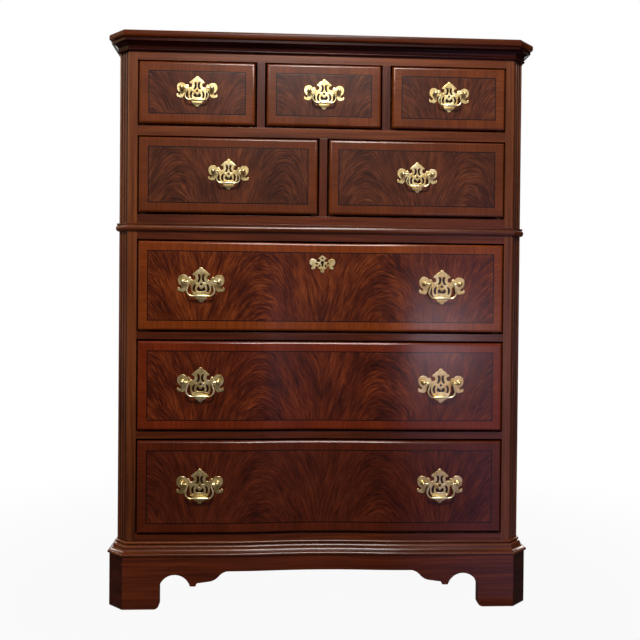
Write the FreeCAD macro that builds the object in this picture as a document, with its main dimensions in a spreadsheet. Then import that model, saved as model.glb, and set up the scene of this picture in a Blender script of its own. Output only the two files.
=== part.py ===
import FreeCAD, Part
import math
import os
import Sketcher

# Tall chest of drawers with canted, fluted corners, a softly blocked lower front and brass bail pulls.
# Millimetres, +Z up, the front faces -Y, and the origin is at the middle of the box's underside.

SIZES = {
    # Case
    "case_width": 884,
    "case_depth": 450,
    "cant_leg": 24,
    "stile_width": 18,
    "frame_depth": 50,
    "side_thickness": 20,
    "back_thickness": 12,
    "flute_width": 6.4,
    "flute_depth": 2.4,
    "flute_pitch": 9,
    # Heights of the front, from the floor up
    "plinth_height": 114.5,
    "base_height": 28,
    "bottom_rail_show": 15.5,
    "row_five_height": 199,
    "lower_rail_height": 16,
    "row_four_height": 191,
    "row_three_height": 191,
    "waist_rail_height": 54,
    "row_two_height": 161,
    "upper_rail_height": 21,
    "row_one_height": 132.5,
    "top_rail_show": 18,
    "cornice_height": 24,
    "top_thickness": 16,
    # Blocking of the lower front: a smooth hollow between flat ends
    "block_depth": 9,
    "block_half_width": 205,
    # Mouldings and top
    "cornice_projection": 17,
    "waist_rise": 18,
    "waist_height": 17,
    "waist_projection": 7,
    "base_projection": 20,
    "top_overhang": 22,
    "top_edge_radius": 6,
    # Bracket base
    "plinth_projection": 16,
    "bracket_thickness": 20,
    "scroll_width": 224,
    "side_scroll_width": 180,
    "apron_rise": 81,
    "rear_foot_width": 80,
    "rear_bracket_length": 120,
    "rear_bracket_rise": 80,
    "glue_block_width": 30,
    "glue_block_height": 28,
    "foot_block_length": 28,
    "foot_block_height": 90,
    "foot_block_setback": 50,
    "apron_block_place": 300,
    # Inside of the case
    "divider_width": 17,
    "runner_thickness": 12,
    "runner_lap": 22,
    "guide_height": 40,
    "dust_panel_thickness": 6,
    "seat_clearance": 0.3,
    # Drawers
    "drawer_gap": 4,
    "drawer_proud": 8,
    "small_front_thickness": 22,
    "large_front_thickness": 34,
    "front_edge_radius": 5.5,
    "drawer_side_thickness": 12,
    "drawer_side_drop": 14,
    "drawer_bottom_thickness": 8,
    "drawer_bottom_rise": 12,
    "drawer_tail_gap": 16,
    # Pulls
    "large_post_spacing": 76.2,
    "large_plate_width": 100.5,
    "large_plate_height": 75.5,
    "large_pull_place": 261,
    "large_pull_rise": 8.8,
    "large_bail_drop": 31,
    "large_bail_shoulder": 29,
    "large_bail_shoulder_radius": 3.5,
    "large_bail_corner": 17.5,
    "large_bail_corner_radius": 12,
    "large_bail_rod_radius": 1.9,
    "large_bail_belly_radius": 3.3,
    "large_bail_belly_half": 22,
    "small_post_spacing": 63.5,
    "small_plate_width": 87.5,
    "small_plate_height": 66,
    "small_pull_rise": 7.9,
    "small_bail_drop": 26,
    "small_bail_shoulder": 24,
    "small_bail_shoulder_radius": 3,
    "small_bail_corner": 14.6,
    "small_bail_corner_radius": 10,
    "small_bail_rod_radius": 1.65,
    "small_bail_belly_radius": 2.8,
    "small_bail_belly_half": 18.4,
    "plate_thickness": 1.8,
    "collar_radius": 5.4,
    "collar_thickness": 1.8,
    "neck_radius": 3.2,
    "head_radius": 4.8,
    "pivot_out": 9.5,
    "shank_radius": 2.5,
    "shank_clearance": 0.3,
    "bail_play": 0.35,
    "nut_radius": 6,
    "nut_thickness": 4,
    "shank_tail": 3,
    # Lock and escutcheon
    "escutcheon_width": 56,
    "escutcheon_height": 38,
    "escutcheon_drop": 42,
    "escutcheon_thickness": 1.4,
    "key_hole_radius": 3.4,
    "key_slot_width": 3.6,
    "key_slot_length": 9,
    "lock_width": 64,
    "lock_height": 62,
    "lock_depth": 14,
    "lock_wall": 3,
    "lock_top_gap": 1,
    "bolt_width": 26,
    "bolt_length": 40,
    "bolt_travel": 10,
    "bolt_clearance": 0.5,
    # Cuts run past what they cut by this much
    "overrun": 5,
    "mitre_reach": 40,
    "mitre_depth": 30,
}

PLACES = {
    "half": "size.case_width / 2",
    "front_half": "half - size.cant_leg",
    "opening_half": "front_half - size.stile_width",
    "pull_reach": "size.plate_thickness + size.pivot_out + size.head_radius",
    "reach": "max(size.drawer_proud + pull_reach; size.top_overhang; size.base_projection)",
    "face": "(reach - size.case_depth) / 2",
    "back": "face + size.case_depth",
    "frame_back": "face + size.frame_depth",
    "back_front": "back - size.back_thickness",
    "side_inner": "half - size.side_thickness",
    # Rail heights, from the floor up
    "base_top": "size.plinth_height + size.base_height",
    "bottom_rail_top": "base_top + size.bottom_rail_show",
    "low_rail_foot": "bottom_rail_top + 2 * size.drawer_gap + size.row_five_height",
    "low_rail_top": "low_rail_foot + size.lower_rail_height",
    "mid_rail_foot": "low_rail_top + 2 * size.drawer_gap + size.row_four_height",
    "mid_rail_top": "mid_rail_foot + size.lower_rail_height",
    "waist_rail_foot": "mid_rail_top + 2 * size.drawer_gap + size.row_three_height",
    "waist_rail_top": "waist_rail_foot + size.waist_rail_height",
    "upper_rail_foot": "waist_rail_top + 2 * size.drawer_gap + size.row_two_height",
    "upper_rail_top": "upper_rail_foot + size.upper_rail_height",
    "top_rail_foot": "upper_rail_top + 2 * size.drawer_gap + size.row_one_height",
    "cornice_foot": "top_rail_foot + size.top_rail_show",
    "case_top": "cornice_foot + size.cornice_height",
    "top": "case_top + size.top_thickness",
    "waist_foot": "waist_rail_foot + size.waist_rise",
    # The hollow of the lower front: two equal radii that meet tangent
    "block_radius": "(size.block_half_width ^ 2 + size.block_depth ^ 2) / (4 * size.block_depth)",
    "block_chord": "sqrt(size.block_half_width ^ 2 + size.block_depth ^ 2)",
    "block_via_x": "size.block_half_width - block_radius * size.block_depth / block_chord",
    "block_via_y": "block_radius * (1 - size.block_half_width / block_chord)",
    # A mitre on an eighth turn runs back by this much for each unit of projection
    "mitre": "sqrt(2) - 1",
    # Drawers and pulls
    "tail": "back_front - size.drawer_tail_gap",
    "small_front_back": "face - size.drawer_proud + size.small_front_thickness",
    "large_front_back": "face - size.drawer_proud + size.large_front_thickness",
    "pivot": "size.plate_thickness + size.pivot_out",
    "escutcheon_sag": "block_radius - sqrt(block_radius ^ 2 - (size.escutcheon_width / 2) ^ 2)",
    "escutcheon_back": "face - size.drawer_proud + size.block_depth - escutcheon_sag",
    "third_front_top": "waist_rail_foot - size.drawer_gap",
    "key_height": "third_front_top - size.escutcheon_drop",
    "lock_top": "third_front_top - size.lock_top_gap",
    "bolt_front": "large_front_back + size.lock_wall + size.bolt_clearance",
    "bolt_back": "large_front_back + size.lock_depth - size.lock_wall - size.bolt_clearance",
}

# Outlines in shares. A corner is (x, y), reached by a straight edge, or (x, y, via x, via y), by an arc.
# Mouldings: shares of the projection and of the height, from the foot at the case's face.
CORNICE_SHARES = [(0, 0), (0, 1), (1, 1), (1, 0.77), (0.9, 0.77), (0.22, 0.27, 0.42, 0.63), (0.17, 0.24),
                  (0.17, 0, 0.335, 0.12)]
WAIST_SHARES = [(0, 0), (0, 1), (0.72, 1), (0.72, 0.78), (0.4, 0.78), (0.4, 0, 1, 0.39)]
BASE_SHARES = [(0, 0), (0, 1), (0.1, 1), (0.1, 0.81, 0.23, 0.905), (0.07, 0.81), (0.07, 0.74), (0.2, 0.74),
               (0.4, 0.525, 0.345, 0.68), (0.745, 0.28, 0.501, 0.351), (0.84, 0.27), (0.84, 0.22),
               (0.9, 0.22), (0.9, 0, 1, 0.11)]
# Scroll cut of a bracket: shares of the scroll's width, from the foot's corner inwards, and of the rise.
SCROLL_SHARES = [(0.299, 0), (0.353, 0.146, 0.337, 0.043), (0.353, 0.6), (0.646, 0.606, 0.5, 0.915),
                 (0.702, 0.606), (0.735, 0.695, 0.708, 0.668), (0.84, 0.735), (0.92, 0.866, 0.888, 0.79),
                 (1, 1, 0.952, 0.945)]
# Pull plate, right half: from the crest down the edge, and back up the middle past the heart and the eye.
# Shares of the half width and of the height.
PIVOT_SHARE = 0.59
PLATE_SHARES = [(0, 1), (0.085, 0.952, 0.06, 0.987), (0.28, 0.853, 0.18, 0.913), (0.385, 0.785, 0.345, 0.825),
                (0.345, 0.768), (0.345, 0.637, 0.245, 0.7025), (0.415, 0.641), (0.475, 0.725, 0.425, 0.694),
                (0.556, 0.707, 0.518, 0.729), (0.76, 0.79, 0.63, 0.768), (0.99, 0.64, 0.928, 0.75),
                (0.86, 0.47, 0.957, 0.54), (0.862, 0.392, 0.822, 0.431), (0.935, 0.428, 0.915, 0.401),
                (1, 0.385, 0.985, 0.418), (0.9, 0.314, 0.975, 0.333), (0.74, 0.287, 0.82, 0.296),
                (0.604, 0.41, 0.65, 0.342), (0.5, 0.53, 0.577, 0.483), (0.43, 0.4, 0.445, 0.47),
                (0.4, 0.28, 0.425, 0.335), (0.26, 0.178, 0.345, 0.217), (0.25, 0.11),
                (0.1, 0.055, 0.18, 0.085), (0, 0, 0.055, 0.012),
                (0, 0.318), (0.12, 0.318), (0.105, 0.45, 0.178, 0.385), (0, 0.37, 0.05, 0.4),
                (0, 0.482), (0, 0.55, 0.05, 0.516)]
PLATE_CRESCENT_SHARES = [(0.295, 0.283), (0.275, 0.512, 0.362, 0.395), (0.215, 0.502),
                         (0.235, 0.288, 0.262, 0.395)]
PLATE_HORN_SHARES = [(0.06, 0.8), (0.115, 0.565, 0.022, 0.69), (0.2, 0.565), (0.165, 0.8, 0.122, 0.69)]
# Escutcheon, right half from the crest down, and the eye in its crest: shares of the half width and height.
ESCUTCHEON_SHARES = [(0, 1), (0.19, 0.905, 0.11, 0.975), (0.335, 0.83, 0.275, 0.877), (0.27, 0.79),
                     (0.27, 0.63, 0.165, 0.71), (0.46, 0.72, 0.4, 0.655), (0.735, 0.815, 0.585, 0.79),
                     (1, 0.63, 0.935, 0.765), (0.87, 0.42, 0.965, 0.51), (0.83, 0.33, 0.79, 0.385),
                     (0.85, 0.23, 0.885, 0.275), (0.735, 0.205, 0.795, 0.205), (0.55, 0.29, 0.62, 0.23),
                     (0.43, 0.41, 0.505, 0.36), (0.3, 0.25, 0.375, 0.325), (0.16, 0.2, 0.22, 0.215),
                     (0.155, 0.11), (0, 0, 0.095, 0.028)]
ESCUTCHEON_EYE_SHARES = [(0, 0.78), (0, 0.88, 0.07, 0.83)]
ESCUTCHEON_HOLE_SHARES = [(0.45, 0.59, 0.365, 0.53), (0.45, 0.47, 0.535, 0.53)]
ESCUTCHEON_CRESCENT_SHARES = [(0.185, 0.475, 0.295, 0.385), (0.185, 0.295, 0.2, 0.385)]
KEY_HEIGHT_SHARE = 0.6

# Rows of drawers: place word, rail below, size of front, names across.
ROWS = [
    ("row_one", "upper_rail", "small", ["top_left", "top_middle", "top_right"]),
    ("row_two", "waist_rail", "small", ["second_left", "second_right"]),
    ("row_three", "mid_rail", "large", ["third"]),
    ("row_four", "low_rail", "large", ["fourth"]),
    ("row_five", "bottom_rail", "large", ["bottom"]),
]

doc = FreeCAD.newDocument("chest")
size = doc.addObject("Spreadsheet::Sheet", "size")
place = doc.addObject("Spreadsheet::Sheet", "place")
for sheet, cells in ((size, SIZES), (place, {name: "=" + text for name, text in PLACES.items()})):
    for line, (name, content) in enumerate(cells.items(), start=1):
        sheet.set(f"A{line}", name)
        sheet.set(f"B{line}", str(content))
        sheet.setAlias(f"B{line}", name)
    doc.recompute()

nodes = []
# Two places closer than this are the same place.
SAME_PLACE = 1e-5


def number(text):
    """The value that an expression has now."""
    result = place.evalExpression(text)
    return float(getattr(result, "Value", result))


def point(x, y):
    return FreeCAD.Vector(number(x), number(y), 0)


def node(thing, name):
    """Names a finished sub-part, which is then written to its own file."""
    thing.Label = name
    nodes.append(thing)
    return thing


def seat(thing, x="0", y="0", z="0"):
    """Puts a sub-part at a place worked out from the sheets."""
    for axis, text in (("x", x), ("y", y), ("z", z)):
        thing.setExpression(f"Placement.Base.{axis}", text)
    return thing


def box(name, x, y, z):
    """A board between two places along each axis."""
    solid = doc.addObject("Part::Box", name)
    for side, (low, high) in (("Length", x), ("Width", y), ("Height", z)):
        solid.setExpression(side, f"({high}) - ({low})")
    return seat(solid, x[0], y[0], z[0])


def bar(name, x, y, z, radius, along):
    """A round bar between two places along X or Y."""
    solid = doc.addObject("Part::Cylinder", name)
    axis, turn = (FreeCAD.Vector(0, 1, 0), 90) if along == "X" else (FreeCAD.Vector(1, 0, 0), -90)
    solid.Placement = FreeCAD.Placement(FreeCAD.Vector(), FreeCAD.Rotation(axis, turn))
    solid.setExpression("Radius", radius)
    low, high = x if along == "X" else y
    solid.setExpression("Height", f"({high}) - ({low})")
    return seat(solid, x[0] if along == "X" else x, y[0] if along == "Y" else y, z)


def group(name, pieces):
    compound = doc.addObject("Part::Compound", name)
    compound.Links = pieces
    return compound


def cut(name, base, tools):
    result = doc.addObject("Part::Cut", name)
    result.Base = base
    result.Tool = tools[0] if len(tools) == 1 else group(name + "_tools", tools)
    return result


def mirrored(name, source):
    """The same piece on the other hand."""
    result = doc.addObject("Part::Mirroring", name)
    result.Source = source
    result.Normal = FreeCAD.Vector(1, 0, 0)
    return result


def pair(name, left):
    return group(name, [left, mirrored(name + "_right", left)])


def origin_plane(body, role):
    return next(feature for feature in body.Origin.OriginFeatures if feature.Role == role)


def sketch_on(body, role, offset):
    """A sketch on one of the body's own planes, moved along the plane's normal."""
    sketch = body.newObject("Sketcher::SketchObject", body.Name + "_sketch")
    sketch.AttachmentSupport = [(origin_plane(body, role), "")]
    sketch.MapMode = "FlatFace"
    sketch.setExpression("AttachmentOffset.Base.z", offset)
    return sketch


def fix_place(rules, shape, end, x, y):
    """Adds the two rules that hold one end of a shape at a place."""
    for kind, text in (("DistanceX", x), ("DistanceY", y)):
        rules.append((Sketcher.Constraint(kind, -1, 1, shape, end, number(text)), text))


def add_edge(shapes, rules, start, corner):
    """Adds the edge that leads to a corner, and gives back its number and its two ends."""
    a, b = point(*start[:2]), point(*corner[:2])
    edge = len(shapes)
    ends = (1, 2)
    if len(corner) == 2:
        shapes.append(Part.LineSegment(a, b))
    else:
        via = point(*corner[2:])
        clockwise = (via - a).cross(b - a).z < 0
        shapes.append(Part.ArcOfCircle(b, via, a) if clockwise else Part.ArcOfCircle(a, via, b))
        shapes.append(Part.Point(via))
        rules.append((Sketcher.Constraint("PointOnObject", edge + 1, 1, edge), None))
        fix_place(rules, edge + 1, 1, *corner[2:])
        ends = (2, 1) if clockwise else (1, 2)
    fix_place(rules, edge, ends[1], *corner[:2])
    return edge, *ends


def apply_sketch(sketch, shapes, rules):
    """Puts shapes and rules into a sketch and ties the rules' values to the sheets."""
    sketch.addGeometry(shapes, False)
    for index, shape in enumerate(shapes):
        if isinstance(shape, Part.Point):
            sketch.setConstruction(index, True)
    sketch.addConstraint([rule for rule, text in rules])
    for index, (rule, text) in enumerate(rules):
        if text is not None:
            sketch.setExpression(f"Constraints[{index}]", text)


def trace(sketch, loops, closed=True):
    """Draws outlines of lines and arcs. A loop of one corner with a radius is a round hole."""
    shapes, rules = [], []
    for loop in loops:
        if len(loop[0]) == 3:
            x, y, radius = loop[0]
            shapes.append(Part.Circle(point(x, y), FreeCAD.Vector(0, 0, 1), number(radius)))
            fix_place(rules, len(shapes) - 1, 3, x, y)
            rules.append((Sketcher.Constraint("Radius", len(shapes) - 1, number(radius)), radius))
            continue
        steps = zip(loop[-1:] + loop[:-1], loop) if closed else zip(loop[:-1], loop[1:])
        edges = [add_edge(shapes, rules, start, corner) for start, corner in steps]
        if not closed:
            fix_place(rules, edges[0][0], edges[0][1], *loop[0])
        followers = edges[1:] + edges[:1] if closed else edges[1:]
        for (edge, _, end), (follower, start, _) in zip(edges, followers):
            rules.append((Sketcher.Constraint("Coincident", edge, end, follower, start), None))
    apply_sketch(sketch, shapes, rules)


def prism(name, role, loops, low, high):
    """An outline padded from one place to another along its plane's axis."""
    body = doc.addObject("PartDesign::Body", name)
    sketch = sketch_on(body, role, f"-({high})" if role == "XZ_Plane" else low)
    trace(sketch, loops)
    pad = body.newObject("PartDesign::Pad", name + "_pad")
    pad.Profile = sketch
    pad.setExpression("Length", f"({high}) - ({low})")
    return body


def ease(body, radius, chosen):
    """Rounds the edges of a body's last feature that the test chooses."""
    body.recompute(True)
    base = body.Tip
    names = [f"Edge{i}" for i, edge in enumerate(base.Shape.Edges, start=1) if chosen(edge)]
    rounding = body.newObject("PartDesign::Fillet", f"{body.Name}_rounding")
    rounding.Base = (base, names)
    rounding.setExpression("Radius", radius)
    return body


def add_mirror(body, role="YZ_Plane"):
    """Doubles a body's last feature about one of the body's own planes."""
    body.recompute(True)
    feature = body.Tip
    whole = body.newObject("PartDesign::Mirrored", f"{body.Name}_whole")
    whole.Originals = [feature]
    whole.MirrorPlane = (origin_plane(body, role), [""])
    body.Tip = whole
    return body


def same_place(a, b):
    return math.isclose(a, b, abs_tol=SAME_PLACE)


def lies_at(edge, axis, text):
    """True where all of an edge lies in one plane across an axis."""
    spots = [vertex.Point for vertex in edge.Vertexes] + [middle_of(edge)]
    return all(same_place(getattr(spot, axis), number(text)) for spot in spots)


def middle_of(edge):
    return edge.valueAt((edge.FirstParameter + edge.LastParameter) / 2)


def runs_front_to_back(edge):
    first, last = edge.Vertexes[0].Point, edge.Vertexes[-1].Point
    return same_place(first.x, last.x) and same_place(first.z, last.z)


def scaled(shares, x_text, y_text, x_from="0", y_from="0"):
    """Corners in the sheets' sizes from corners in shares."""
    texts = (f"{x_from} + ({{}}) * ({x_text})", f"{y_from} + ({{}}) * ({y_text})")
    return [tuple(texts[i % 2].format(share) for i, share in enumerate(corner)) for corner in shares]


def backwards(run):
    """The same run of corners, walked from its other end."""
    steps = zip(run[:0:-1], run[-2::-1])
    return [run[-1][:2]] + [(*before[:2], *corner[2:]) for corner, before in steps]


def block_curve(y):
    """The blocked front's line from its left end to its right end, at a depth for the flat ends."""
    via = f"{y} + place.block_via_y"
    middle = f"{y} + size.block_depth / 2"
    return [
        ("-size.block_half_width", y),
        ("-size.block_half_width / 2", middle, "-place.block_via_x", via),
        ("size.block_half_width / 2", middle, "0", f"{y} + size.block_depth"),
        ("size.block_half_width", y, "place.block_via_x", via),
    ]


def blocked_board(name, half, front, back, low, high):
    """A board with a straight back and the blocked front."""
    outline = [(f"-({half})", back), (f"-({half})", front), *block_curve(front), (half, front), (half, back)]
    return prism(name, "XY_Plane", [outline], low, high)


def corner_at(projection, side="front"):
    """The left front corner of the case's plan, carried out by a projection along its mitre."""
    if side == "front":
        return f"-place.front_half - place.mitre * ({projection})", f"place.face - ({projection})"
    return f"-place.half - ({projection})", f"place.face + size.cant_leg - place.mitre * ({projection})"


def mirror_point(spot):
    return f"-({spot[0]})", spot[1]


def make_posts():
    """Canted corner posts, fluted from end to end."""
    outline = [("-place.opening_half", "place.frame_back"), ("-place.opening_half", "place.face"),
               ("-place.front_half", "place.face")]
    root = "/ sqrt(2)"
    for step in (-1, 0, 1):
        middle = f"size.cant_leg / 2 + ({step}) * size.flute_pitch {root}"
        near, far = (f"({middle} {sign} size.flute_width / 2 {root})" for sign in "-+")
        deep = f"size.flute_depth {root}"
        outline.append((f"-place.front_half - {near}", f"place.face + {near}"))
        outline.append((f"-place.front_half - {far}", f"place.face + {far}",
                        f"-place.front_half - ({middle}) + {deep}", f"place.face + {middle} + {deep}"))
    outline += [("-place.half", "place.face + size.cant_leg"), ("-place.half", "place.frame_back")]
    left = prism("left_post", "XY_Plane", [outline], "size.plinth_height", "place.case_top")
    node(left, "left_corner_post")
    node(mirrored("right_post", left), "right_corner_post")


def make_case():
    """Side panels, back boards and the front rails."""
    height = ("size.plinth_height", "place.case_top")
    left = box("left_side", ("-place.half", "-place.side_inner"), ("place.frame_back", "place.back"), height)
    node(left, "left_side_panel")
    node(mirrored("right_side", left), "right_side_panel")
    boards = []
    stops = ["size.plinth_height", "place.low_rail_top", "place.mid_rail_top", "place.waist_rail_top",
             "place.case_top"]
    for index, z in enumerate(zip(stops, stops[1:])):
        boards.append(box(f"back_board_{index}", ("-place.side_inner", "place.side_inner"),
                          ("place.back_front", "place.back"), z))
    node(group("back_group", boards), "back_boards")
    across = ("-place.opening_half", "place.opening_half")
    deep = ("place.face", "place.frame_back")
    node(box("top_rail_board", across, deep, ("place.top_rail_foot", "place.case_top")), "top_rail")
    upper = box("upper_rail_board", across, deep, ("place.upper_rail_foot", "place.upper_rail_top"))
    node(upper, "upper_rail")
    waist = box("waist_rail_board", across, deep, ("place.waist_rail_foot", "place.waist_rail_top"))
    mortise = bolt_room("bolt_mortise", "place.waist_rail_foot - size.overrun",
                        "place.lock_top + size.bolt_travel + size.lock_wall")
    node(cut("waist_rail_cut", waist, [mortise]), "waist_rail")
    lower = [blocked_board(f"{word}_board", "place.opening_half", "place.face", "place.frame_back",
                           f"place.{word}_foot", f"place.{word}_top") for word in ("mid_rail", "low_rail")]
    node(group("lower_rail_group", lower), "lower_rails")
    node(blocked_board("bottom_rail_board", "place.opening_half", "place.face", "place.frame_back",
                       "size.plinth_height", "place.bottom_rail_top"), "bottom_rail")


def bolt_room(name, low, high):
    """The space that the lock bolt slides in, clear of it all round."""
    play = "size.bolt_clearance"
    return box(name, (f"-size.bolt_width / 2 - {play}", f"size.bolt_width / 2 + {play}"),
               (f"place.bolt_front - {play}", f"place.bolt_back + {play}"), (low, high))


def opening(index, count):
    """The left and right limits of one drawer opening in a row."""
    wide = f"(2 * place.opening_half - {count - 1} * size.divider_width) / {count}"
    left = f"-place.opening_half + {index} * ({wide} + size.divider_width)"
    return left, f"{left} + {wide}"


def make_inside():
    """Dividers, runners, guides and dust panels, row by row."""
    dividers, runners, panels = [], [], []
    deep = ("place.frame_back", "place.back_front")
    for row, rail, kind, names in ROWS:
        top = f"place.{rail}_top"
        under = f"{top} - size.runner_thickness"
        rise = (top, f"{top} + size.guide_height")
        sides = [("-place.side_inner", "-place.opening_half"), ("place.opening_half", "place.side_inner")]
        between = [(opening(i, len(names))[1], opening(i + 1, len(names))[0]) for i in range(len(names) - 1)]
        for index, (left, right) in enumerate(sides + between):
            inner = [left if index == 0 else f"{left} - size.runner_lap",
                     right if index == 1 else f"{right} + size.runner_lap"]
            runners.append(box(f"{row}_runner_{index}", inner, deep, (under, top)))
            runners.append(box(f"{row}_guide_{index}", (left, right), deep, rise))
        for index, across in enumerate(between):
            height = (top, f"{top} + size.{row}_height + 2 * size.drawer_gap")
            dividers.append(box(f"{row}_divider_{index}", across, ("place.face", "place.frame_back"),
                                height))
        panels.append(box(f"{row}_dust_panel", ("-place.side_inner", "place.side_inner"), deep,
                          (f"{under} - size.dust_panel_thickness", under)))
    node(group("divider_group", dividers), "drawer_dividers")
    node(group("runner_group", runners), "drawer_runners")
    node(group("panel_group", panels), "dust_panels")


def make_top():
    """The top board, canted like the case below and rounded at its front and side edges."""
    front, side = corner_at("size.top_overhang"), corner_at("size.top_overhang", "side")
    left = [(side[0], "place.back"), side, front]
    outline = left + [mirror_point(spot) for spot in reversed(left)]
    board = prism("top_slab", "XY_Plane", [outline], "place.case_top", "place.top")

    def shows(edge):
        level = lies_at(edge, "z", "place.top") or lies_at(edge, "z", "place.case_top")
        return level and not lies_at(edge, "y", "place.back")

    node(ease(board, "size.top_edge_radius", shows), "top_board")


def make_wedges():
    """Plan wedges between the mitres: front, both cants and both sides, as tall as the chest."""
    out, into = "size.mitre_reach", "-size.mitre_depth"
    fronts = [corner_at(out), corner_at(into)]
    sides = [corner_at(out, "side"), corner_at(into, "side")]
    plans = {
        "front": [fronts[0], mirror_point(fronts[0]), mirror_point(fronts[1]), fronts[1]],
        "cant": [fronts[0], fronts[1], sides[1], sides[0]],
        "side": [sides[0], sides[1], (sides[1][0], "place.back"), (sides[0][0], "place.back")],
    }
    made = {word: prism(f"{word}_wedge", "XY_Plane", [plan], "0", "place.top")
            for word, plan in plans.items()}
    return [made["front"], made["cant"], mirrored("cant_wedge_right", made["cant"]),
            made["side"], mirrored("side_wedge_right", made["side"])]


def make_moulding(name, wedges, shares, projection, height, foot, front):
    """A moulding run round the front, cants and sides, then cut into lengths at its mitres."""
    left = [("-place.half", "place.back"), corner_at("0", "side"), corner_at("0")]
    body = doc.addObject("PartDesign::Body", f"{name}_run")
    path = sketch_on(body, "XY_Plane", foot)
    trace(path, [left + front + [mirror_point(spot) for spot in reversed(left)]], closed=False)
    profile = sketch_on(body, "XZ_Plane", "-place.back")
    trace(profile, [scaled(shares, f"-({projection})", height, "-place.half", foot)])
    body.recompute(True)
    sweep = body.newObject("PartDesign::AdditivePipe", f"{name}_sweep")
    sweep.Profile = profile
    sweep.Spine = (path, [])
    sweep.Transition = "Right corner"
    lengths = []
    for wedge in wedges:
        length = doc.addObject("Part::Common", f"{name}_length")
        length.Base = body
        length.Tool = wedge
        lengths.append(length)
    node(group(f"{name}_group", lengths), f"{name}_moulding")


def scroll_cut(name, role, mirror_role, half, width, low, high):
    """The open shape between two scroll-cut feet, run through a bracket, about the feet's middle."""
    scroll = scaled(SCROLL_SHARES, f"-({width})", "size.apron_rise", half)
    outline = [("0", "-size.overrun"), (scroll[0][0], "-size.overrun"), *scroll, ("0", "size.apron_rise")]
    return add_mirror(prism(name, role, [outline], low, high), mirror_role)


def make_brackets():
    """Bracket base: blocked front board, canted corner feet, side and rear brackets, glue blocks."""
    out = "size.plinth_projection"
    into = "size.plinth_projection - size.bracket_thickness"
    height = ("0", "size.plinth_height")
    outer, inner = corner_at(out), corner_at(into)
    outline = [outer, *block_curve(f"place.face - {out}"), mirror_point(outer), mirror_point(inner),
               *backwards(block_curve(f"place.face - ({into})")), inner]
    board = prism("front_bracket_board", "XY_Plane", [outline], *height)
    reach = ("place.face - size.mitre_reach", "place.face + size.mitre_reach")
    half = f"(place.front_half + place.mitre * {out})"
    scroll = scroll_cut("front_scroll", "XZ_Plane", "YZ_Plane", half, "size.scroll_width", *reach)
    node(cut("front_bracket_cut", board, [scroll]), "front_bracket")

    outer_side, inner_side = corner_at(out, "side"), corner_at(into, "side")
    foot = prism("left_corner_foot", "XY_Plane", [[outer, outer_side, inner_side, inner]], *height)
    node(pair("corner_foot_pair", foot), "corner_feet")

    plan = [outer_side, (outer_side[0], "place.back"), (inner_side[0], "place.back"), inner_side]
    board = prism("side_bracket_board", "XY_Plane", [plan], *height)
    middle = f"(place.back + {outer_side[1]}) / 2"
    half = f"(place.back - ({outer_side[1]})) / 2"
    across = ("-place.half - size.mitre_reach", "-place.half + size.mitre_reach")
    scroll = scroll_cut("side_scroll", "YZ_Plane", "XZ_Plane", half, "size.side_scroll_width", *across)
    seat(scroll, y=middle)
    node(pair("side_bracket_pair", cut("side_bracket_cut", board, [scroll])), "side_brackets")

    start = f"-place.half - ({into})"
    foot_end, tip = f"{start} + size.rear_foot_width", f"{start} + size.rear_bracket_length"
    swell_x = f"{foot_end} + (1 - sqrt(2) / 2) * (size.rear_bracket_length - size.rear_foot_width)"
    swell_z = "size.rear_bracket_rise * sqrt(2) / 2"
    shape = [(start, "0"), (foot_end, "0"), (tip, "size.rear_bracket_rise", swell_x, swell_z),
             (tip, "size.plinth_height"), (start, "size.plinth_height")]
    rear = prism("rear_bracket_board", "XZ_Plane", [shape],
                 "place.back - size.bracket_thickness", "place.back")
    node(pair("rear_bracket_pair", rear), "rear_brackets")
    make_glue_blocks(start, f"place.face - ({into})")


def make_glue_blocks(side_inner, front_inner):
    """Blocks glued inside the bracket base: one tall one in each foot and two behind the apron."""
    wide = (side_inner, f"{side_inner} + size.glue_block_width")
    tall = ("size.plinth_height - size.foot_block_height", "size.plinth_height")
    front = "place.face + size.foot_block_setback"
    rear = "place.back - size.bracket_thickness"
    blocks = [
        box("front_foot_block", wide, (front, f"{front} + size.foot_block_length"), tall),
        box("rear_foot_block", wide, (f"{rear} - size.foot_block_length", rear), tall),
        box("apron_block", ("-size.apron_block_place - size.glue_block_width / 2",
                            "-size.apron_block_place + size.glue_block_width / 2"),
            (front_inner, f"{front_inner} + size.glue_block_width"),
            ("size.plinth_height - size.glue_block_height", "size.plinth_height")),
    ]
    pairs = [pair(f"{block.Name}_pair", block) for block in blocks]
    node(group("glue_block_group", pairs), "glue_blocks")


def make_plate(kind):
    """A pierced plate, its right half mirrored about the middle."""
    wide, high = f"size.{kind}_plate_width / 2", f"size.{kind}_plate_height"
    foot = f"-({PIVOT_SHARE}) * {high}"
    outlines = [scaled(loop, wide, high, "0", foot)
                for loop in (PLATE_SHARES, PLATE_CRESCENT_SHARES, PLATE_HORN_SHARES)]
    outlines.append([(f"size.{kind}_post_spacing / 2", "0", "size.shank_radius + size.shank_clearance")])
    return add_mirror(prism(f"{kind}_plate", "XZ_Plane", outlines, "-size.plate_thickness", "0"))


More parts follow.
